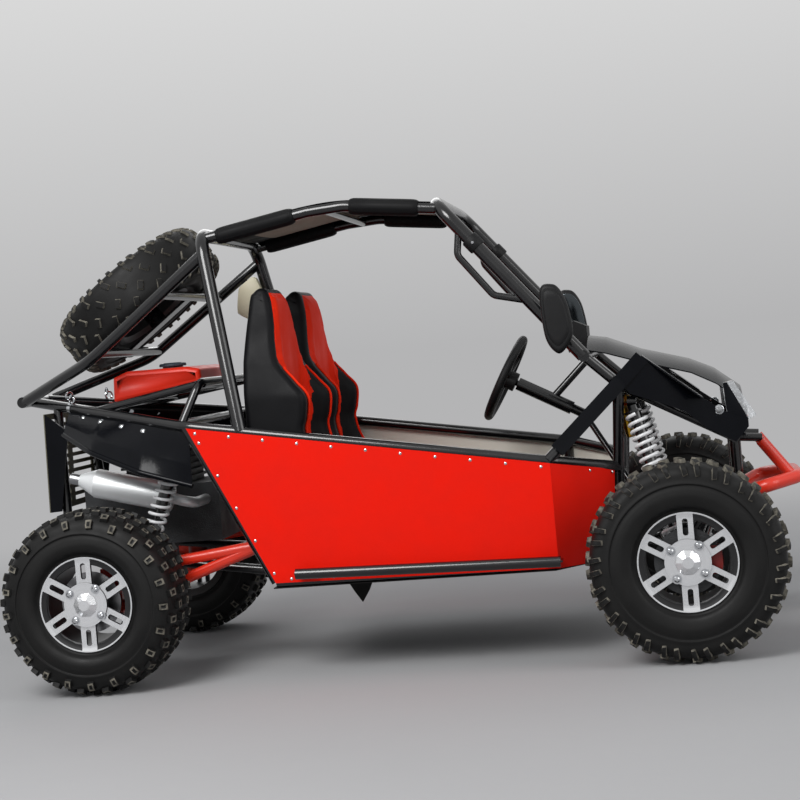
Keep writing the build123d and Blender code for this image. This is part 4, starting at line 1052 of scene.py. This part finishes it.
@dataclass
class Seats:
    """Two bucket seats: a black foam shell with bolsters, red padded inserts, red piping; sizes in mm."""

    places: tuple = (("right", -250.0), ("left", 250.0))
    rim: float = 22.0
    back: tuple = ((545, 307.8), (538, 440), (500, 560), (488, 700), (488, 940), (505, 1136), (522, 1174),
                   (546, 1183), (566, 1164), (579, 1100))
    middle: tuple = ((584, 960), (586, 890), (587, 842), (588, 780), (589, 735), (596, 640), (622, 500),
                     (700, 458), (860, 470), (960, 480), (998, 462), (1004, 307.8))
    wing: tuple = ((594, 960), (640, 890), (676, 842), (672, 780), (662, 735), (690, 650), (780, 582),
                   (860, 562), (960, 545), (985, 530), (998, 508), (1004, 307.8))
    widths: tuple = ((300, 225), (860, 225), (960, 205), (1110, 135), (1190, 115))
    rungs: tuple = ((0, 21), (1, 19.8), (2, 17), (2.6, 16), (3, 15), (3.5, 12.5), (4, 10.2), (5, 8.6),
                    (6, 8.1), (7.5, 7.5))
    bolster: tuple[float, float] = (0.5, 0.72)
    back_pad: tuple = ((7.4, 0.78), (8.0, 0.86), (9.0, 0.93), (10.0, 0.93), (10.6, 0.76), (11.2, 0.64),
                       (15.2, 0.60))
    seat_pad: tuple = ((16.3, 0.58), (19.7, 0.62))
    crown: float = 15.0
    cord: tuple[float, float] = (10.3, 19.6)
    cord_share: float = 0.78
    fill: float = 0.85

    def surface(self, along: Array, share: Array) -> Array:
        """Points of the seat's skin, about the seat's own middle.

        The side profile is the middle one mixed with the bolster's by a smooth step of the share of the
        half width, and the half width follows the height.

        Args:
            along: knot numbers along the profile, one to a line.
            share: places across, as shares of the half width, a line of them for each knot number.
        Returns:
            Points in mm, (lines, places, 3).
        """
        count = 600
        steps = np.linspace(0.0, len(self.back) + len(self.middle) - 1.0, count)
        lines = [smooth_line(np.vstack([self.back, front]), count) for front in (self.middle, self.wing)]
        inner, outer = (np.stack([np.interp(along, steps, c) for c in line.T], axis=-1) for line in lines)
        half = np.interp(inner[:, 1], *np.transpose(self.widths))
        step = np.clip((abs(share) - self.bolster[0]) / (self.bolster[1] - self.bolster[0]), 0.0, 1.0)
        step = (step * step * (3.0 - 2.0 * step))[..., None]
        flat = inner[:, None] * (1.0 - step) + outer[:, None] * step
        return np.stack([flat[..., 0], half[:, None] * share, flat[..., 1]], axis=-1)

    def shell(self) -> Skin:
        """The whole profile carried across, drawn in along its normals by a quarter circle at both sides.

        The two side faces are ladders: each rung joins a point of the rear line to the front one beside it.
        """
        rear = np.linspace(0.0, self.rungs[-1][0], 120)
        along = np.concatenate([rear, np.interp(rear, *np.transpose(self.rungs))[::-1]])
        turn = np.linspace(0.0, pi / 2, 8)[1:]
        level = np.linspace(0.0, 1.0, 18)
        halves = [
            (-1, np.concatenate([level, np.ones(len(turn))])),
            (-1, np.concatenate([0 * level, np.sin(turn)])),
            (1, np.concatenate([0 * level, 1.0 - np.cos(turn)])),
        ]
        base, swing, draw = (np.concatenate([sign * c[:0:-1], c]) for sign, c in halves)
        half = self.surface(along, np.ones((len(along), 1)))[..., 1]
        points = self.surface(along, (base * (half - self.rim) + swing * self.rim) / half)
        slope = unit(np.gradient(points[..., [0, 2]], axis=0))
        points[..., 0] += slope[..., 1] * draw * self.rim
        points[..., 2] -= slope[..., 0] * draw * self.rim
        points[..., 2] = np.maximum(points[..., 2], self.back[0][1])
        skin = Skin.grid(points, wrap=True)
        count, columns = points.shape[:2]
        low = np.arange(count // 2 - 1)
        rung = np.stack([low, low + 1, count - 2 - low, count - 1 - low], axis=-1) * columns
        return Skin(skin.points, skin.faces + [(rung, 0), (rung[:, ::-1] + columns - 1, 0)])

    def pad(self, table: tuple) -> Skin:
        """A crowned insert, lifted off the skin by crown (1 - s^4)(1 - t^8), its back just below the skin.

        Args:
            table: knot numbers along the profile, each with the pad's half width as a share.
        Returns:
            The pad.
        """
        along = np.linspace(table[0][0], table[-1][0], 60)
        s = np.linspace(-1.0, 1.0, 25)
        share = np.interp(along, *np.transpose(table))[:, None] * s
        points = self.surface(along, share)
        out = unit(np.cross(np.gradient(points, axis=1), np.gradient(points, axis=0)))
        t = np.linspace(-1.0, 1.0, len(along))[:, None]
        lift = 2.0 + self.crown * (1.0 - s**4) * (1.0 - t**8)
        front, rear = points + out * lift[..., None], points - out * 4.0
        loop = np.concatenate([front, rear[:, ::-1]], axis=1)
        return Skin.grid(loop.transpose(1, 0, 2), wrap=True, ends=True)

    def piping(self) -> Skin:
        """A thin cord along the crest of each bolster, at a fixed share of the half width."""
        along = np.linspace(*self.cord, 120)
        cords = []
        for share in (-self.cord_share, self.cord_share):
            path = self.surface(along, np.full((len(along), 1), share))[:, 0]
            rise = unit(np.gradient(path[:, [0, 2]], axis=0))
            path[:, 0] -= rise[:, 1] * 2.5
            path[:, 2] += rise[:, 0] * 2.5
            cords.append(Skin.tube(path, 4.5, 8, (0.0, 1.0, 0.0)))
        return Skin.join(*cords)

    def build(self) -> None:
        """Builds both seats from the same surfaces."""
        parts = [("shell", self.shell(), VINYL_BLACK), ("back_pad", self.pad(self.back_pad), VINYL_RED),
                 ("base_pad", self.pad(self.seat_pad), VINYL_RED), ("piping", self.piping(), VINYL_RED)]
        for side, y in self.places:
            for kind, skin, finish in parts:
                placed = Skin(row(skin.points + (0.0, y, 0.0)), skin.faces)
                obj = piece(f"seat_{kind}_{side}", placed, "chassis", "seat_cover", finish, sharp=60.0)
                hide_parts(f"seat_{side}")
                if "pad" in kind:
                    Swelling().swell(obj, finish)


@dataclass
class Roof:
    """The canvas on the roof rails and the padded sleeves round them; sizes in mm."""

    line: tuple = ((392.0, 1351.0), (709.0, 1405.0), (820.0, 1412.0), (1092.0, 1380.0))
    half: float = 352.0
    rail_y: float = 345.0
    over: float = 18.6
    sag: float = 9.0
    bay_half: float = 330.0
    bar_x: float = 765.0
    bar_hold: float = 160.0
    border: float = 62.0
    sleeve: tuple[float, float] = (17.6, 26.4)
    share: tuple[float, float] = (0.08, 0.86)
    fill: float = 0.9

    def sheet(self) -> None:
        """One sheet over both rails: level on them, lower between by sag (1 - s^2), less by the bar."""
        x = np.linspace(self.line[0][0], self.line[-1][0], 71)
        crest = np.interp(x, *np.transpose(self.line))
        wide = np.pad(crest, 5, mode="reflect", reflect_type="odd")
        crest = np.convolve(wide, np.full(11, 1 / 11), mode="valid")
        s = np.linspace(-1.0, 1.0, 49)
        bay = 0.45 + 0.55 * np.minimum(abs(x - self.bar_x) / self.bar_hold, 1.0)
        dip = np.clip(1.0 - (s * self.half / self.bay_half) ** 2, 0.0, 1.0)
        z = crest[:, None] + self.over - self.sag * bay[:, None] * dip
        z = z - 0.8 * np.cos(s * 40.0) * np.exp(-((abs(s) - 0.93) / 0.06) ** 2)
        points = np.stack([x[:, None] + 0 * s, self.half * s + 0 * x[:, None], z], axis=-1)
        skin = Skin.grid(row(points))
        middle = points[:-1, :-1].reshape(-1, 3)
        inside = (abs(middle[:, 1]) < self.half - self.border) & (middle[:, 0] > x[0] + self.border)
        inside &= middle[:, 0] < x[-1] - self.border
        quads = skin.faces[0][0]
        skin = Skin(skin.points, [(quads[inside], 0), (quads[~inside], 2)])
        obj = piece("roof_sheet", skin, "chassis", "canvas", CANVAS, CANVAS_UNDER, CANVAS, CANVAS)
        wall = obj.modifiers.new("cloth_thickness", "SOLIDIFY")
        wall.thickness, wall.offset, wall.material_offset = 0.0016, 0.0, 1
        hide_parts("roof_canvas")

    def sleeves(self) -> None:
        """A hollow padded sleeve on each straight run of rail, its radius drawn in at both ends."""
        bore, outer = self.sleeve
        skins = []
        for start, end in (self.line[:2], self.line[2:]):
            run = np.subtract(end, start)
            length = float(np.hypot(*run)) * (self.share[1] - self.share[0])
            rise = np.linspace(0.0, 1.0, 41)
            bulge = np.column_stack([outer - 5.0 * abs(2 * rise - 1) ** 16, rise * length])
            profile = np.vstack([bulge, [(bore, length), (bore, 0.0)]])
            x, z = np.add(start, run * self.share[0])
            skins.append(Skin.turned(profile, 32, closed=True).at((run[0], 0.0, run[1]), (x, self.rail_y, z)))
        obj = piece("roof_sleeves", Skin.join(*skins).both_sides(), "chassis", "canvas", CANVAS)
        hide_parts("roof_canvas")

    def build(self) -> None:
        """Builds the sheet and its sleeves."""
        self.sheet()
        self.sleeves()


@dataclass
class Lamps:
    """Reflectors inside the headlamps, their bezels and the round side lamps; sizes in mm."""

    aim: Point = (0.867, 0.0, 0.498)
    dishes: tuple = ((1951.0, 263.0, 738.0), (1979.0, 263.0, 690.0))
    side_lamp: Point = (1908.0, 304.0, 697.0)
    bezel: tuple = ((1925.0, 775.0), (1937.0, 777.0), (1993.0, 663.0), (1931.0, 687.0))
    bezel_y: float = 301.8

    def build(self) -> None:
        """Turns a bright dish with a bulb for each reflector, and a domed lens in a ring for a side lamp."""
        front = [(0, -14), (9, -13), (18, -8), (24, -1), (26, 3)]
        dish = Skin.turned(front + [(27.5, 3), (26, -2), (19, -11), (0, -17)], 32)
        bulb = Skin.turned([(0, 4), (3, 3), (4.5, 0), (4.5, -13)], 16)
        skin = Skin.join(dish.at(self.aim, *self.dishes), bulb.at(self.aim, *self.dishes)).both_sides()
        piece("lamp_reflectors", skin, "chassis", "alloy", CHROME)
        bezel = Skin.pillow(rounded(self.bezel, 0.08), self.bezel_y, 1.6, 1.0)
        piece("lamp_bezels", bezel.both_sides(), "chassis", "fender_black", ABS_BLACK)
        lens = Skin.turned([(0, 13), (5, 12), (9.5, 8.5), (11.5, 3), (11.5, 0)], 24)
        lamp = Skin.join(lens, Skin.torus(12.5, 2.4, 32).painted(1)).at((0, 1, 0), self.side_lamp)
        piece("side_lamps", lamp.both_sides(), "chassis", "lamp_clear", LENS, CHROME)


@dataclass
class Fittings:
    """Mirrors, bottle, fuel cap, tail pipe, tie rings, pillar clamps and the dial; sizes in mm."""

    mirror: tuple = ((1406, 1111), (1457, 1115), (1488, 1063), (1502, 958), (1454, 898), (1413, 950))
    mirror_y: float = 457.0
    mirror_arm: tuple = ((1440, 405, 990), (1444, 430, 996), (1448, 452, 1000))
    arm_share: float = 0.194
    bottle_side: tuple = ((300, 1222), (350, 1256), (368, 1250), (418, 1110), (360, 1091), (287, 1131))
    bottle_y: float = 370.0
    bottle_cap: Point = (324.0, 370.0, 1236.0)
    cap_seat: Point = (142.0, 0.0, 962.0)
    can_rear: Point = (-55.0, -300.0, 616.0)
    can_front: Point = (187.0, -300.0, 553.0)
    tie_ring: Point = (-150.0, 193.5, 857.4)
    rail_run: Point = (644.0, 430.0, -110.0)
    pillar: tuple = ((1520.0, 385.0, 893.0), (1107.0, 370.0, 1393.0))
    clamp_share: float = 0.735
    dial: Point = (1465.0, 0.0, 978.0)
    dial_face: Point = (-0.857, 0.0, 0.514)

    def up_pillar(self, share: float) -> Array:
        """A point of the left front pillar, at this share of the way from foot to top."""
        foot, top = np.array(self.pillar)
        return foot + (top - foot) * share

    def mirrors(self) -> None:
        """A domed housing with a step round it, the glass on its inner face and the arm from the pillar."""
        outline = rounded(self.mirror)
        shrunk = outline.mean(axis=0) + (outline - outline.mean(axis=0)) * 0.86
        shell = Skin.pillow(outline, self.mirror_y, 17.0, 12.0)
        boss = Skin.pillow(shrunk, self.mirror_y + 8.0, 13.0, 20.0)
        glass = Skin.pillow(shrunk, self.mirror_y - 16.2, 1.6, 2.0).painted(1)
        path = smooth_line([self.up_pillar(self.arm_share), *self.mirror_arm], 20)
        arm = Skin.tube(row(path), 0.009, 14, (0, 0, 1))
        skin = Skin.join(shell, boss, glass, arm).both_sides()
        obj = piece("mirrors_dressed", skin, "chassis", "trim_black", TRIM_BLACK, MIRROR)
        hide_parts("mirrors")

    def bottle(self) -> None:
        """A blow-moulded bottle with soft rims and a small screw cap."""
        body = Skin.pillow(rounded(self.bottle_side, 0.15), self.bottle_y, 17.0, 6.0)
        cap = Skin.turned([(0, 13), (9, 12.5), (11, 10), (11, 0)], 24, ribs=(12, 0.4, 10.0))
        cap = cap.at((-0.5, 0.0, 0.8), self.bottle_cap).painted(1)
        obj = piece("bottle_dressed", Skin.join(body, cap), "chassis", "bottle_cream", BOTTLE, TRIM_BLACK)
        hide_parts("overflow_bottle")

    def fuel_cap(self) -> None:
        """A screw cap with ribs round its rim and a ring on its top."""
        top = [(0, 15), (22, 15), (24, 16.8), (29, 16.8), (31, 15), (40, 15)]
        rim = [(43.5, 13), (44.4, 9), (44.4, 6), (43, 4.5), (34, 4.5), (34, 0)]
        cap = Skin.turned(top + rim, 144, ribs=(36, 0.55, 42.0)).at((0, 0, 1), self.cap_seat)
        obj = piece("fuel_cap_dressed", cap, "chassis", "cap_blue", CAP_BLUE)
        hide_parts("fuel_cap")

    def tail_pipe(self) -> None:
        """An open pipe on the can's cone."""
        pipe = Skin.turned([(14, 40), (14, 86), (16, 88), (18, 86), (18, 40)], 32, closed=True)
        pipe = pipe.at(np.subtract(self.can_rear, self.can_front), self.can_rear)
        piece("tail_pipe", pipe, "chassis", "steel", STEEL)

    def rings(self) -> None:
        """A band round each side rail near the tail, with two chain links standing on it."""
        seat = np.array(self.tie_ring)
        band = Skin.turned([(17.2, -8), (19.5, -8), (19.5, 8), (17.2, 8)], 32, closed=True)
        link = Skin.torus(12.0, 3.6, 28)
        skin = Skin.join(
            band.at(self.rail_run, seat),
            link.at(np.cross(self.rail_run, (0, 0, 1)), seat + (0, 0, 29)),
            link.at(self.rail_run, seat + (-8, 0, 42)),
        )
        piece("tie_rings", skin.both_sides(), "chassis", "steel", CHROME)

    def clamps(self) -> None:
        """A split collar with a screw on each front pillar, above the grab loop."""
        spot = self.up_pillar(self.clamp_share)
        profile = [(21.2, -20), (25, -20), (27, -17), (27, 17), (25, 20), (21.2, 20)]
        ring = Skin.turned(profile, 40, closed=True).at(np.subtract(*self.pillar[::-1]), spot)
        screw = Skin.turned([(0, 6), (4, 5.5), (5.5, 3), (5.5, -4)], 12).at((0, 1, 0), spot + (0, 26, 0))
        skin = Skin.join(ring, screw.painted(1)).both_sides()
        piece("pillar_clamps", skin, "chassis", "trim_black", TRIM_BLACK, CHROME)

    def gauge(self) -> None:
        """A round dial in a bright ring on the pod, with twelve plain marks and a needle."""
        face = Skin.turned([(0, 1.5), (23, 1.5), (24, -2)], 40)
        ring = Skin.torus(24.5, 2.6, 40).painted(1)
        marks = Skin.turned([(0, 0.6), (1.2, 0.4), (1.3, 0)], 8).copies(around(12, 19.5, 1.4))
        line = np.array([(0.0, 0.0, 2.4), (8.0, 6.0, 2.4), (14.0, 11.0, 2.4)]) / 1000.0
        needle = Skin.tube(line, 0.0007, 6, (0, 0, 1))
        skin = Skin.join(face, ring, marks.painted(2), needle.painted(2)).at(self.dial_face, self.dial)
        piece("dash_dial", skin, "chassis", "trim_black", TRIM_BLACK, CHROME, ENAMEL_WHITE)

    def build(self) -> None:
        """Builds every fitting."""
        self.mirrors()
        self.bottle()
        self.fuel_cap()
        self.tail_pipe()
        self.rings()
        self.clamps()
        self.gauge()


@dataclass
class Stage:
    """The pale floor, soft lamps and the camera at the photograph's angle."""

    yaw: float = 0.1542
    pitch: float = 0.0287
    roll: float = -0.0848
    lens_mm: float = 80.49
    eye: Point = (0.8891, -5.7683, 0.9616)
    reach: float = 30.0
    backdrop: str = "#b4b4b5"
    high_backdrop: str = "#d8d8d8"
    room: str = "#d8dadd"
    room_light: float = 0.6

    def fade(self, tree: Tree) -> None:
        """Lets the paper fade into the backdrop with the distance from the object, so that no edge shows.

        Args:
            tree: the paper's node tree.
        """
        surface = tree.nodes["Material Output"].inputs["Surface"]
        near = surface.links[0].from_socket
        far = vector(tree, "LENGTH", add(tree, "ShaderNodeTexCoord", {}, "Object"))
        span = {0: far, 1: 1.8, 2: 5.5}
        share = add(tree, "ShaderNodeMapRange", span, interpolation_type="SMOOTHSTEP")
        haze = add(tree, "ShaderNodeEmission", {"Color": linear(self.backdrop), "Strength": 1.0})
        tree.links.new(add(tree, "ShaderNodeMixShader", {0: share, 1: near, 2: haze}), surface)

    def floor(self) -> None:
        """Lays the paper floor."""
        mesh = bpy.data.meshes.new("studio_floor")
        corners = [(x * self.reach, y * self.reach, 0.0) for x, y in ((-1, -1), (1, -1), (1, 1), (-1, 1))]
        mesh.from_pydata(corners, [], [[0, 1, 2, 3]])
        mesh.materials.append(PAPER.material())
        self.fade(mesh.materials[0].node_tree)
        obj = bpy.data.objects.new("studio_floor", mesh)
        bpy.context.scene.collection.objects.link(obj)

    def world(self) -> None:
        """A backdrop that pales upwards where it is seen or mirrored, and an even soft light elsewhere."""
        world = bpy.data.worlds.new("studio")
        bpy.context.scene.world = world
        world.use_nodes = True
        tree = world.node_tree
        tree.nodes.clear()
        rays = ("Is Camera Ray", "Is Transmission Ray", "Is Glossy Ray")
        seen, *others = [add(tree, "ShaderNodeLightPath", {}, kind) for kind in rays]
        for other in others:
            seen = calc(tree, "MAXIMUM", seen, other)
        way = add(tree, "ShaderNodeTexCoord", {}, "Generated")
        rise = ramp(tree, add(tree, "ShaderNodeSeparateXYZ", {0: way}, "Z"), 0.0, 0.2)
        tone = blend(tree, seen, self.room, blend(tree, rise, self.backdrop, self.high_backdrop))
        glow = ramp(tree, seen, 0.0, 1.0, self.room_light, 1.0)
        back = add(tree, "ShaderNodeBackground", {"Color": tone, "Strength": glow})
        add(tree, "ShaderNodeOutputWorld", {"Surface": back})

    def camera(self) -> None:
        """Points the camera: back is the view direction turned round, rolled about itself."""
        a, e, r = self.yaw, self.pitch, self.roll
        back = np.array([sin(a) * cos(e), -cos(a) * cos(e), sin(e)])
        right = unit(np.cross(-back, (0.0, 0.0, 1.0)))
        up = np.cross(right, -back)
        x, y = cos(r) * right + sin(r) * up, cos(r) * up - sin(r) * right
        data = bpy.data.cameras.new("camera")
        data.lens, data.sensor_width, data.clip_end = self.lens_mm, 36.0, 100.0
        obj = bpy.data.objects.new("camera", data)
        obj.matrix_world = Matrix(placing(self.eye, x, y, back).tolist())
        bpy.context.scene.collection.objects.link(obj)
        bpy.context.scene.camera = obj

    def lamp(self, name: str, spot: Point, aim: Point, size: float, watts: float) -> None:
        """Hangs one soft square lamp.

        Args:
            name: the lamp's name.
            spot: where it hangs, in metres.
            aim: the point that it faces.
            size: its edge in metres.
            watts: its power.
        """
        data = bpy.data.lights.new(name, "AREA")
        data.size, data.energy = size, watts
        obj = bpy.data.objects.new(name, data)
        obj.matrix_world = Matrix(facing(np.array([spot]), np.subtract(spot, aim))[0].tolist())
        bpy.context.scene.collection.objects.link(obj)

    def build(self) -> None:
        """Lays the floor, lights the scene and sets the camera."""
        bpy.context.scene.view_settings.view_transform = "Standard"
        self.floor()
        self.world()
        self.lamp("key", (-1.6, -4.2, 4.0), (0.0, 0.0, 0.6), 2.6, 250.0)
        self.lamp("fill", (4.4, -2.2, 2.6), (0.0, 0.0, 0.6), 3.0, 70.0)
        self.lamp("back", (-1.5, 4.6, 4.4), (0.0, 0.0, 0.7), 4.0, 90.0)
        self.camera()


def main() -> None:
    """Builds every sub-assembly in order."""
    logging.basicConfig(level=logging.INFO, format="%(message)s")
    CadPieces().dress()
    Wheels().build()
    Suspension().build()
    Fixings().build()
    Seats().build()
    Roof().build()
    Lamps().build()
    Fittings().build()
    Stage().build()


if __name__ == "__main__":
    main()
